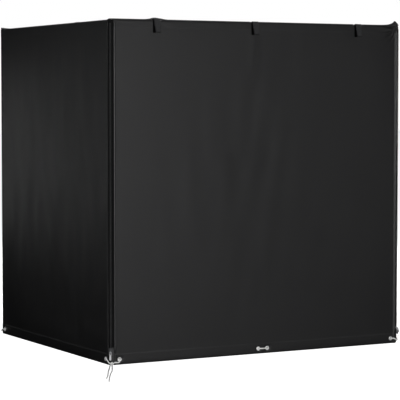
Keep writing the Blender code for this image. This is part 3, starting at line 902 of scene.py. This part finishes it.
def wall_grid(wall, holes):
    """The places of a wall's grid lines, dense at its hems, seams, holes and gathered corner."""
    edges = (0.0010, 0.0046, EDGE_HEM, 0.0075, 0.0090)
    u_marks = [*edges, *(wall.width - e for e in edges)]
    v_marks = [0.0020, 0.0030, *(BOTTOM_HEM + m for m in (-0.0008, 0.0, 0.0012, 0.0022))]
    v_marks += [WALL_TOP - m for m in (0.0010, 0.0022, 0.0032, 0.0190)]
    v_marks += [WALL_TOP - TOP_HEM - m for m in (0.0, 0.0030, 0.0040)]
    if isinstance(wall, BackWall):
        bend = [QUARTER_BEND * k / 5 for k in range(1, 6)]
        u_marks = [*bend, *(wall.width - m for m in bend)]
    if wall.relief is door_relief:
        u_marks += list(np.arange(wall.width - 0.060, wall.width, 0.0035))
        v_marks += list(np.arange(WALL_TOP - 0.060, WALL_TOP, 0.0035))
    for u, v in holes:
        u_marks += [u - HOLE_MARK, u, u + HOLE_MARK]
        v_marks += [v - HOLE_MARK, v, v + HOLE_MARK]
    us = grid_lines(0.0, wall.width, SHEET_STEP, u_marks)
    return us, grid_lines(HEM_Z, WALL_TOP, SHEET_STEP, v_marks)


def make_walls(finishes):
    """The four upright panels, with their wrinkles, hems, eyelet holes and stitching."""
    deep, wide, full = 2 * BEND_Y, DOOR_HIGH.x - DOOR_LOW.x, 2 * BEND_X + 2 * QUARTER_BEND
    start = (-HALF_W, BEND_Y, 0)
    left = Wall("cover_left", start, (0, -1, 0), deep, 0.010, 1, 0.00110, 0.0034, side_relief)
    start = (HALF_W, -BEND_Y, 0)
    right = Wall("cover_right", start, (0, 1, 0), deep, 0.008, 2, 0.00055, 0.0020, side_relief)
    start = (DOOR_LOW.x, -HALF_D, 0)
    door = Wall("door_sheet", start, (1, 0, 0), wide, 0.005, 3, 0.00014, 0.0007, door_relief)
    start = (BEND_X, HALF_D, 0)
    back = BackWall("cover_back", start, (-1, 0, 0), full, 0.008, 4, 0.00055, 0.0018, hems_only)
    roof = Roof()
    fields = hang_cloth([left, right, door, back, roof])
    for wall in (left, right, door, back, roof):
        wall.set_field(fields[wall.name])

    side_pair, row = ("front", "back"), ("left", "centre_left", "centre_right", "right")
    for side, wall, body, node, places in (
        ("left", left, "tent_body", "left_panel", side_pair),
        ("right", right, "tent_body", "right_panel", side_pair),
        ("front", door, "door", "front_door", row),
        ("back", back, "tent_body", "back_panel", row),
    ):
        holes = eyelet_places(wall, [f"{side}_{place}_eyelet" for place in places])
        if wall is back:
            holes = [(u + QUARTER_BEND, v) for u, v in holes]
        piece = surface(wall.name, *wall_grid(wall, holes), wall.at, holes)
        thicken(piece, CLOTH, (finishes["cloth"], finishes["lining"]))
        placed(piece, None, body, "cover_cloth", node)

        rows = (BOTTOM_HEM - 0.0016, WALL_TOP - TOP_HEM + 0.0016)
        runs = [((0.004, v), (wall.width - 0.004, v)) for v in rows]
        if wall is not back:
            inset = 0.0040 if wall is door else 0.0058
            for u in (inset, wall.width - inset):
                runs.append(((u, BOTTOM_HEM + 0.003), (u, WALL_TOP - TOP_HEM - 0.002)))
        thread = stitches(f"{side}_stitching", wall.at, runs)
        placed(thread, finishes["thread"], body, "cover_cloth")
    make_edge_beads(door, finishes["binding"])
    return roof


def make_edge_beads(door, finish):
    """The rounded binding along both side edges of the door."""
    for name, u, top in (("left", 0.0022, 0.010), ("right", door.width - 0.0022, 0.019)):
        v = np.linspace(BOTTOM_HEM + 0.004, WALL_TOP - top, 90)
        line = door.at(np.full(len(v), u), v, 0.0002)
        bead = sweep(f"door_{name}_binding", line, rounded_box(0.0036, 0.0024, 0.0011, 4))
        placed(bead, finish, "door", "cover_cloth")


# ---------------------------------------------------------------- roof


def rim_lift(x, y):
    """How far the roof's edge stands up: a gathered peak at the front right corner and small lumps."""
    side = np.where(x < PEAK_X, 0.012, 0.009)
    back = np.maximum(0.0, y + HALF_D - 0.004)
    lift = PEAK * np.exp(-abs(x - PEAK_X) / side) * np.exp(-back / 0.020)
    front = np.exp(-np.maximum(0.0, y + HALF_D - 0.008) / 0.012)
    lift += TAB_BUMP * front * np.exp(-(((x - centre("left_tab").x) / 0.019) ** 2))
    lift += 0.0016 * np.exp(-(((x + HALF_W) / 0.010) ** 2)) * np.exp(-(((y + 0.160) / 0.006) ** 2))
    corner = np.hypot(x + HALF_W, y - HALF_D)
    return lift + 0.0022 * np.exp(-((corner / 0.022) ** 2))


def left_side(x, y):
    """1 along the roof's left edge, where it slopes down to the wall, and 0 along the others."""
    return (1 - ramp(x, -BEND_X, -BEND_X + 0.006)) * (1 - ramp(abs(y), BEND_Y - 0.010, HALF_D - 0.004))


def tab_notch(x, y):
    """How far the roof's front edge stands back behind each tab, to leave room for the tab to turn."""
    notch = np.zeros(np.shape(x))
    for name in TABS:
        notch += TAB_NOTCH * np.exp(-(((x - centre(f"{name}_tab").x) / 0.0125) ** 6))
    return notch * (1 - ramp(y + HALF_D, 0.004, 0.022))


class Roof:
    """The roof panel, over u along X and v along Y. It sags a little between the rails.

    Its corners are round, and its front edge stands back behind each tab.
    """

    name = "cover_roof"
    level = True
    width = 2 * HALF_W
    height = 2 * HALF_D
    slack = 0.001
    seed = 5
    field = np.zeros((2, 2))

    def set_field(self, field):
        deepest = float(abs(field).max())
        if deepest:
            self.field = field * min(1.0, ROOF_SAG / deepest)

    def at(self, u, v, lift=0.0):
        x, y = u - HALF_W, v - HALF_D
        a = np.clip(abs(x) - BEND_X, 0, BEND_R) / BEND_R
        b = np.clip(abs(y) - BEND_Y, 0, BEND_R) / BEND_R
        inset = 0.0016
        px = np.sign(x) * (np.minimum(abs(x), BEND_X) + (BEND_R - inset) * a * np.sqrt(1 - b * b / 2))
        py = np.sign(y) * (np.minimum(abs(y), BEND_Y) + (BEND_R - inset) * b * np.sqrt(1 - a * a / 2))
        py = py + tab_notch(px, py)
        sag = sampled(self.field, self.width, self.height, u, v)
        near = np.minimum(HALF_W - abs(x), HALF_D - abs(y))
        sag *= ramp(near, 0.012, 0.060)
        z = TOP - 0.0004 + sag + rim_lift(px, py) + lift
        z -= 0.0030 * left_side(px, py) * (1 - ramp(x + HALF_W, 0.0, 0.009))
        return np.stack([px, py, z], -1)


def rim_path(inset, step=0.003):
    """Points round the roof's outline, anticlockwise from above, with how far each stands up.

    Returns the points, the outward direction at each, the lift of the rim, and where it slopes down.
    """
    corners = []
    for x, y, start in ((1, -1, -90), (1, 1, 0), (-1, 1, 90), (-1, -1, 180)):
        for k in range(7):
            a = math.radians(start + 15 * k)
            way = np.array((math.cos(a), math.sin(a)))
            corners.append((np.array((x * BEND_X, y * BEND_Y)) + (BEND_R - inset) * way, way))
    path = []
    ways = []
    for (p, way), (q, _) in zip(corners, corners[1:] + corners[:1]):
        count = max(1, int(math.hypot(*(q - p)) / step))
        path += [p + (q - p) * k / count for k in range(count)]
        ways += [way] * count
    path = np.array(path)
    path[:, 1] += tab_notch(*path.T)
    return path, np.array(ways), rim_lift(*path.T), left_side(*path.T)


def make_roof(roof, finishes):
    near_peak = [HALF_W + x for x in np.arange(0.385, HALF_W, 0.004)]
    edges = [0.002, 0.004, 0.007, BEND_R]
    near_tab = [sign * d for d in (0.0, 0.005, 0.010, 0.013, 0.016) for sign in (-1, 1)]
    tab_marks = [HALF_W + centre(f"{name}_tab").x + d for name in TABS for d in near_tab]
    u_marks = [*edges, *(roof.width - e for e in edges), *near_peak, *tab_marks]
    v_marks = [*edges, *(roof.height - e for e in edges), *np.arange(0.004, 0.056, 0.004)]
    v_marks += [HALF_D - 0.160 + d for d in (-0.006, 0.0, 0.006)]
    us = grid_lines(0.0, roof.width, SHEET_STEP, u_marks)
    vs = grid_lines(0.0, roof.height, SHEET_STEP, v_marks)
    piece = surface(roof.name, us, vs, roof.at)
    thicken(piece, ROOF_CLOTH, (finishes["cloth"], finishes["lining"]))
    placed(piece, None, "tent_body", "cover_cloth", "roof_panel")

    inset = 0.0075
    far_u, far_v = roof.width - inset, roof.height - inset
    corners = [(inset, inset), (far_u, inset), (far_u, far_v), (inset, far_v)]
    thread = stitches("roof_stitching", roof.at, list(zip(corners, corners[1:] + corners[:1])))
    placed(thread, finishes["thread"], "tent_body", "cover_cloth")

    path, _, lift, slope = rim_path(0.0019)
    welt = np.column_stack([path, TOP - 0.0002 - 0.0024 * slope + lift])
    piece = sweep("roof_welt", welt, circle(WELT_R, 12), closed=True, scales=1 - 0.55 * slope)
    placed(piece, finishes["binding"], "tent_body", "cover_cloth")
    make_rim(finishes["binding"])


def make_rim(finish):
    """The upright band between the walls and the welt, pleated where it stands up."""
    path, ways, lift, slope = rim_path(0.0017)
    rows = 8
    points = []
    for row in range(rows):
        share = row / (rows - 1)
        pleat = np.sin(path[:, 0] * 1050 + path[:, 1] * 900 + 2.6 * share)
        out = 0.0024 * np.minimum(1, lift / PEAK * 1.8) * pleat * math.sin(math.pi * share)
        out += 0.0012 * np.minimum(1, lift / 0.004) * ramp(share * (0.0045 + lift), 0.0014, 0.0034)
        z = WALL_TOP - 0.0012 + ((TOP - WALL_TOP + 0.0014) * (1 - 0.8 * slope) + lift) * share
        points.append(np.column_stack([path + ways * out[:, None], z]))
    faces = grid_quads(rows, len(path), ring_columns=True)[:, ::-1].tolist()
    row, k = np.meshgrid(np.arange(rows - 1), np.arange(len(path)), indexing="ij")
    corners = ((1, 0), (1, 1), (0, 1), (0, 0))
    uvs = np.stack([np.stack([0.003 * (k + dk), 0.002 * (row + up)], -1) for dk, up in corners], 2)
    piece = mesh_object("roof_rim", np.concatenate(points), faces, uvs.reshape(-1, 2))
    thicken(piece, ROOF_CLOTH, (finish,))
    placed(piece, None, "tent_body", "cover_cloth")


def make_gathers(finish):
    """Small tucks where the roof's cloth is bunched at the front right corner."""
    y = -HALF_D + 0.0012
    high = TOP + PEAK - 0.0035
    for number, foot in enumerate((0.4075, 0.4165, 0.4245, 0.4320)):
        head, start = PEAK_X - 0.0016 * (3 - number), high - 0.0020 * (3 - number)
        route = []
        for share in (0.0, 0.3, 0.65, 1.0):
            z = start + (WALL_TOP + 0.0020 - start) * share**0.7
            route.append((head + (foot - head) * share, y, z))
        line = smoothed(route, 6)
        scales = [0.35 + 0.65 * math.sin(math.pi * k / (len(line) - 1)) for k in range(len(line))]
        tuck = sweep(f"corner_tuck_{number + 1}", line, circle(0.0011, 8), scales=scales)
        placed(tuck, finish, "tent_body", "cover_cloth")


# ---------------------------------------------------------------- tabs


def make_tabs(finishes):
    """Each tab is a loop of webbing over the door's top edge. It stands off the door towards its foot."""
    for name in TABS:
        low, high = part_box(f"{name}_tab")
        x = (low.x + high.x) / 2
        inner, top, foot = high.y - 0.0008, high.z + 0.0006, low.z
        outer, turn = inner - 0.0030, top - 0.0036
        route = [
            (inner, foot + 0.0100),
            (inner, foot + 0.0200),
            (inner, top - 0.0040),
            (inner - 0.0008, top - 0.0009),
            (inner - 0.0020, top - 0.0008),
            (outer, turn),
            (inner - 0.0044, top - 0.0150),
            (inner - 0.0062, foot + 0.0085),
            (inner - 0.0064, foot + 0.0040),
            (inner - 0.0048, foot + 0.0012),
            (inner - 0.0024, foot + 0.0012),
            (inner - 0.0004, foot + 0.0040),
        ]
        loop = [(x, y, z) for y, z in route]
        line = smoothed([*loop, loop[0]], 4)[:-1]
        outline = strap_outline(high.x - low.x, WEBBING)
        webbing = sweep(f"{name}_tab_webbing", line, outline, closed=True)
        roll_edge_and_mark_shade(webbing, low.x, inner - 0.0025, foot, top)
        placed(webbing, finishes["webbing"], f"{name}_tab_flap", "tab_webbing", f"{name}_tab")

        def outer_face(u, v, lift=0.0, x=x, outer=outer, turn=turn, foot=foot):
            share = np.clip((turn - v) / (turn - foot - 0.0085), 0, 1)
            return np.stack([x + u, outer - 0.0032 * share - WEBBING / 2 - lift, v], -1)

        half = (high.x - low.x) / 2 - WEBBING_EDGE
        up, down = top - 0.0065, top - 0.0175
        square = [(-half, up), (half, up), (half, down), (-half, down)]
        runs = [*zip(square, square[1:] + square[:1]), (square[0], square[2]), (square[1], square[3])]
        thread = stitches(f"{name}_tab_stitching", outer_face, runs, 0.0032, 0.0024, 0.00028)
        placed(thread, finishes["thread"], f"{name}_tab_flap", "tab_webbing")


def roll_edge_and_mark_shade(webbing, left, layer, foot, top):
    """Rolls the left edge of a tab's outer layer back towards the door, more so towards its foot, and marks
    painted shade in its roll attribute: on the curled edge and over the inner layer inside the loop.
    """
    roll = webbing.data.attributes.new("roll", "FLOAT", "POINT")
    for vertex, mark in zip(webbing.data.vertices, roll.data):
        drop = (top - vertex.co.z) / (top - foot)
        edge = max(0.0, 1 - (vertex.co.x - left) / 0.007)
        if vertex.co.y < layer:
            vertex.co.y += 0.0042 * drop * edge * edge
            # Painted shade on the curled-back edge of the outer layer.
            mark.value = float(1 - ramp(vertex.co.x - left - 0.0040 * drop, 0.0006, 0.0026))
        else:
            # Painted shade over the inner layer below the fold, inside the loop.
            mark.value = 1.0 if vertex.co.z < top - 0.003 else 0.0


# ---------------------------------------------------------------- zips


def corner_matrix(side, height):
    """Local X along the corner's face, Y up and Z outwards, from the centre of the corner's bend."""
    sign = -1 if side == "left" else 1
    out = Vector((sign, -1, 0)).normalized()
    up = Vector((0, 0, 1))
    place = Matrix((up.cross(out), up, out)).transposed().to_4x4()
    place.translation = (sign * BEND_X, -BEND_Y, height)
    return place


def corner_strip(name, side, angles, low, high, finish, body, node):
    """A strip of tape on the corner's bend, between two angles from the side wall towards the door.

    Past the bend the strip runs straight on, behind the wall or the door.
    """
    sign = -1 if side == "left" else 1
    start, end = angles if side == "left" else angles[::-1]
    reach = math.radians(abs(end - start)) * TAPE_R

    def at(u, v, lift=0.0):
        full = np.radians(start + (end - start) * u / reach)
        angle = np.clip(full, 0, math.pi / 2)
        beside = np.clip(full, None, 0) * TAPE_R
        under = np.clip(full - math.pi / 2, 0, None) * TAPE_R
        r = TAPE_R + 0.0007 * ramp(v, WALL_TOP - 0.0096, WALL_TOP - 0.0082) + lift
        x = sign * (BEND_X + r * np.cos(angle) - under)
        return np.stack([x, -BEND_Y - r * np.sin(angle) - beside, v], -1)

    marks = [WALL_TOP - m for m in (0.0096, 0.0089, 0.0082)]
    piece = surface(name, np.linspace(0, reach, 7), grid_lines(low, high, 0.015, marks), at)
    thicken(piece, 0.0006, (finish,))
    placed(piece, None, body, "zip_tape", node)


def make_coil(name, side, way, low, finish, body):
    """One row of coil teeth: a flat spiral that just crosses the zip's middle line."""
    steps = 8
    turns = int((WALL_TOP - 0.0095 - low) / COIL_PITCH)
    phase = np.arange(turns * steps + 1) * 2 * math.pi / steps
    across = way * (0.0013 - 0.0016 * np.cos(phase))
    out = 0.0111 - 0.0008 * np.sin(phase)
    up = low + COIL_PITCH * (phase / (2 * math.pi) + (0.5 if way > 0 else 0))
    matrix = np.array(corner_matrix(side, 0.0))
    points = np.stack([across, up, out], -1) @ matrix[:3, :3].T + matrix[:3, 3]
    placed(sweep(name, points, circle(0.00040, 5)), finish, body, "zip_tape")


def make_zips(finishes):
    """Two zips, each with tape and coil on the wall and on the door, and a patch of hem below."""
    tape, cloth, coil = finishes["tape"], finishes["cloth"], finishes["coil"]
    low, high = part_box("left_zip_door_half")
    for side in SIDES:
        sign = -1 if side == "left" else 1
        for name, angles, foot, head, finish, body, node in (
            ("tape_on_wall", WALL_TAPE, HEM_Z, high.z, tape, "tent_body", "zip_body_half"),
            ("tape_on_door", DOOR_TAPE, low.z, high.z, tape, "door", "zip_door_half"),
            ("hem_patch", DOOR_TAPE, HEM_Z, low.z - 0.0004, cloth, "tent_body", "zip_end_patch"),
        ):
            corner_strip(f"{side}_{name}", side, angles, foot, head, finish, body, f"{side}_{node}")
        make_coil(f"{side}_coil_on_wall", side, sign, HEM_Z + 0.003, coil, "tent_body")
        make_coil(f"{side}_coil_on_door", side, -sign, low.z + 0.001, coil, "door")
        make_slider(side, finishes)


def make_slider(side, finishes):
    """A zip slider with a bail over it, and the puller that hangs in the bail."""
    low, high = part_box(f"{side}_zip_slider")
    reach = (high.z - low.z) / 2
    shield = []
    for x, y in circle(1, 40):
        x, y = math.copysign(abs(x) ** 0.55, x), math.copysign(abs(y) ** 0.45, y)
        shield.append(((0.0046 + 0.0006 * y) * x, reach * y))
    face = plate("face", [shield], 0.0010, 0.0003)
    face.location.z = 0.01385
    parts = [face]
    for way in (-1, 1):
        wall = plate("wall", [rounded_box(0.0014, 2 * reach - 0.0020, 0.0006)], 0.0026, 0.0002)
        wall.location = (way * 0.0040, 0, 0.0123)
        parts.append(wall)
    arch = [(-0.0049, 0.0142), (-0.0049, 0.0163), (-0.0040, 0.0171), (0.0, 0.0174)]
    arch += [(-y, z) for y, z in arch[-2::-1]]
    bail = smoothed([(0, y, z) for y, z in arch], 4)
    parts.append(sweep("bail", bail, rounded_box(0.0008, 0.0023, 0.0003)))
    piece = merged(f"{side}_slider_metal", parts)
    piece.matrix_world = corner_matrix(side, centre(f"{side}_zip_slider").z)
    placed(piece, finishes["slider"], f"{side}_slider", "zip_metal", f"{side}_zip_slider")

    low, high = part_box(f"{side}_zip_puller")
    length = high.z - low.z
    waist = length * 0.12
    rim = []
    for x, y in rounded_box(0.0052, length, 0.0022, 6):
        rim.append((x * (1 - 0.22 * math.exp(-(((y - waist) / 0.004) ** 2))), y))
    rise = length / 2 - 0.0014 - 0.0034
    eye = [(x, y + rise) for x, y in rounded_box(0.0030, 0.0068, 0.0008, 4)]
    parts = [plate("grip", [rim, eye], 0.0013, 0.0003)]
    for k in range(4):
        ridge = sweep("ridge", [(-0.0017, 0, 0), (0.0017, 0, 0)], circle(0.00045, 8))
        ridge.location = (0, -waist - 0.0020 * k, 0.0006)
        parts.append(ridge)
    piece = merged(f"{side}_puller_metal", parts)
    place = corner_matrix(side, centre(f"{side}_zip_puller").z)
    piece.matrix_world = place @ Matrix.Translation((0, 0, 0.0155))
    # The right puller takes the dark slider metal instead of the light puller metal: painted shade.
    finish = finishes["puller" if side == "left" else "slider"]
    placed(piece, finish, f"{side}_puller", "zip_metal", f"{side}_zip_puller")


# ---------------------------------------------------------------- eyelets, lacing and knot


EYELET_FACES = {"front": (0, -1), "back": (0, 1), "left": (-1, 0), "right": (1, 0)}


def make_eyelets(finish):
    """Rolled metal eyelets, each with a washer on the inner face."""
    profile = []
    for k in range(9):
        a = math.radians(200 - 25 * k)
        profile.append((0.00445 + 0.00125 * math.cos(a), 0.0003 + 0.0010 * max(0.0, math.sin(a))))
    profile += [(0.0057, -0.0001), (0.0038, -0.0002), (0.0038, -0.0012), (0.0056, -0.0013)]
    profile += [(0.0057, -0.0018), (0.0052, -0.0022), (0.0036, -0.0022), (0.0031, -0.0018)]
    for name in sorted(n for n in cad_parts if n.endswith("_eyelet")):
        ring = lathe(f"{name}_ring", profile, 40)
        place, way = hole(name)
        ring.matrix_world = turned(place + way * 0.0006, way)
        body = "door" if name.startswith("front") else "tent_body"
        placed(ring, finish, body, "eyelet_metal", name)


def turned(place, way):
    """The matrix that puts a piece at the place with its Z along the way."""
    return Matrix.Translation(place) @ way.to_track_quat("Z", "Y").to_matrix().to_4x4()


def hole(name):
    """An eyelet's centre on the cloth's outer face, and the way that the face looks."""
    way = Vector((*EYELET_FACES[name.split("_")[0]], 0))
    middle = centre(name)
    x = way.x * HALF_W if way.x else middle.x
    y = way.y * HALF_D if way.y else middle.y
    return Vector((x, y, middle.z)), way


def through_hole(name, along, leaving):
    """Points of the cord going out through an eyelet, or in when leaving is False."""
    place, way = hole(name)
    steps = (
        (-0.0180, -CORD_IN),
        (-0.0080, -CORD_IN),
        (-0.0036, -CORD_IN + 0.0011),
        (-0.0014, -0.0047),
        (-0.0006, -0.0024),
        (0.0004, 0.0003),
        (0.0016, 0.0022),
        (0.0044, CORD_OUT),
        (0.0085, CORD_OUT),
    )
    if leaving:
        return [place + along * s + way * n for s, n in steps]
    return [place - along * s + way * n for s, n in reversed(steps)]


def corner_wrap(x_sign, y_sign, start, end, steps):
    """Points round the outside of a corner, dipping towards the floor at its middle."""
    middle = Vector((x_sign * BEND_X, y_sign * BEND_Y, 0))
    eyelet_z = hole("left_front_eyelet")[0].z
    points = []
    for step in range(steps + 1):
        angle = math.radians(start + (end - start) * step / steps)
        swing = math.cos(2 * (angle - math.atan2(y_sign, x_sign)))
        dip = CORD_END_DIP + (1 - CORD_END_DIP) * max(0.0, swing)
        way = Vector((math.cos(angle), math.sin(angle), 0)) * (BEND_R + CORD_OUT)
        points.append(middle + way + Vector((0, 0, eyelet_z - (eyelet_z - CORD_DIP_Z) * dip)))
    return points


def make_lacing(finish):
    """The hem cord in two runs, which meet at the knot and beside the front right corner."""
    right, left, back, front = (Vector(way) for way in ((1, 0, 0), (-1, 0, 0), (0, 1, 0), (0, -1, 0)))
    half_gap = 2.0

    # Anticlockwise from the front right corner, round the back to the knot.
    route = corner_wrap(1, -1, -45 + half_gap, -12, 3)
    route += through_hole("right_front_eyelet", back, False)
    route += through_hole("right_back_eyelet", back, True)
    route += corner_wrap(1, 1, 12, 78, 4)
    route += through_hole("back_right_eyelet", left, False)
    route += through_hole("back_centre_right_eyelet", left, True)[:-1]
    route += through_hole("back_centre_left_eyelet", left, False)[1:]
    route += through_hole("back_left_eyelet", left, True)
    route += corner_wrap(-1, 1, 102, 168, 4)
    route += through_hole("left_back_eyelet", front, False)
    route += through_hole("left_front_eyelet", front, True)
    x = -HALF_W - CORD_OUT
    route += [(x, -0.3570, 0.0128), (x, -0.3640, 0.0100), (x + 0.0004, -0.3693, 0.0072)]
    route.append((-0.4552, -0.3733, 0.0060))
    cord = sweep("body_hem_braid", smoothed(route, 4), circle(CORD_R, 12))
    placed(cord, finish, "tent_body", "cord_white", "body_hem_cord")

    # Along the door's hem, from the knot to the front right corner, rising into the first eyelet.
    x, y = hole("front_left_eyelet")[0].x, -HALF_D - CORD_OUT
    route = [
        (KNOT.x + KNOT_R + 0.0018, y - 0.0012, 0.0080),
        (x - 0.0125, y, 0.0078),
        (x - 0.0060, y, 0.0073),
        (x - 0.0018, y, 0.0084),
        (x - 0.0008, y - 0.0002, 0.0112),
        (x - 0.0005, -HALF_D - 0.0022, 0.0138),
    ]
    route += through_hole("front_left_eyelet", right, False)[3:]
    route += through_hole("front_centre_left_eyelet", right, True)[:-1]
    route += through_hole("front_centre_right_eyelet", right, False)[1:]
    route += through_hole("front_right_eyelet", right, True)
    route += corner_wrap(1, -1, -78, -45 - half_gap, 3)
    cord = sweep("door_hem_braid", smoothed(route, 4), circle(CORD_R, 12))
    placed(cord, finish, "door", "cord_white", "door_hem_cord")


def make_knot(finish):
    """A tight overhand knot where the two ends of the lacing meet."""
    turns = np.linspace(0, 2 * math.pi, 97)[:-1]
    size = 0.00118
    x = size * (np.sin(turns) + 2 * np.sin(2 * turns))
    y = size * (np.cos(turns) - 2 * np.cos(2 * turns))
    z = -1.5 * size * np.sin(3 * turns)
    matrix = np.array(corner_matrix("left", 0.0))[:3, :3]
    points = np.stack([x, y * 0.92, z], -1) @ matrix.T + np.array(KNOT) + np.array([0, 0, 0.0002])
    knot = sweep("corner_knot_braid", points, circle(0.00150, 12), closed=True)
    placed(knot, finish, "tent_body", "cord_white", "corner_knot")


# ---------------------------------------------------------------- frame


def make_frame(finishes):
    """Steel tubes, and a moulded fitting with three spigots at each corner."""
    wall, edge = 0.001, 0.0004
    for name in sorted(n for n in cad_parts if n.endswith(("_rail", "_upright"))):
        low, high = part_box(name)
        size = high - low
        axis = max(range(3), key=lambda k: size[k])
        radius, length = size[(axis + 1) % 3] / 2, size[axis]
        profile = [(radius - edge, 0), (radius, edge), (radius, length - edge), (radius - edge, length)]
        profile += [(radius - wall, length), (radius - wall, 0)]
        tube = lathe(f"{name}_tube", profile, 36)
        start = (low + high) / 2
        start[axis] = low[axis]
        way = Vector([1.0 if k == axis else 0.0 for k in range(3)])
        tube.matrix_world = turned(start, way)
        placed(tube, finishes["steel"], "tent_body", "frame_steel", name)

    upright = centre("back_right_upright")
    reach = 0.036
    for level in ("top", "bottom"):
        z = centre(f"{level}_front_rail").z
        for number, (name, x, y) in enumerate(
            (("front_left", -1, -1), ("front_right", 1, -1), ("back_right", 1, 1), ("back_left", -1, 1))
        ):
            parts = [hub()]
            for end in ((reach, 0, 0), (0, reach, 0), (0, 0, -reach if level == "top" else reach)):
                parts.append(sweep("spigot", [(0, 0, 0), end], circle(0.0082, 24)))
            if level == "bottom":
                foot = [(0.0068, -z), (0.0080, -z + 0.0012), (0.0080, -0.012), (0.0072, -0.009)]
                parts.append(lathe("foot", [*foot, (0.0001, -0.009), (0.0001, -z)], 32))
            fitting = merged(f"{level}_{name}_fitting", parts)
            place = Matrix.Translation((x * upright.x, y * upright.y, z))
            fitting.matrix_world = place @ Matrix.Rotation(math.radians(90 * number), 4, "Z")
            placed(fitting, finishes["plastic"], "tent_body", "corner_plastic", f"{level}_{name}_corner")


def hub():
    """The moulded block in the middle of a corner fitting."""
    bm = bmesh.new()
    bmesh.ops.create_cube(bm, size=0.020)
    bmesh.ops.bevel(bm, geom=bm.edges[:], offset=0.0035, segments=5, affect="EDGES", profile=0.5)
    mesh = bpy.data.meshes.new("hub")
    bm.to_mesh(mesh)
    bm.free()
    return linked("hub", mesh)


# ---------------------------------------------------------------- all together

bpy.context.scene.view_settings.view_transform = "Standard"
add_camera()
materials = make_materials()
make_tails(materials["tail"])
add_studio()
make_roof(make_walls(materials), materials)
make_gathers(materials["binding"])
make_tabs(materials)
make_zips(materials)
make_eyelets(materials["eyelet"])
make_lacing(materials["cord"])
make_knot(materials["cord"])
make_frame(materials)

visual_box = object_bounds()
both = {"cad": cad_box, "visual": visual_box}
lists = {name: [list(map(float, corner)) for corner in box] for name, box in both.items()}
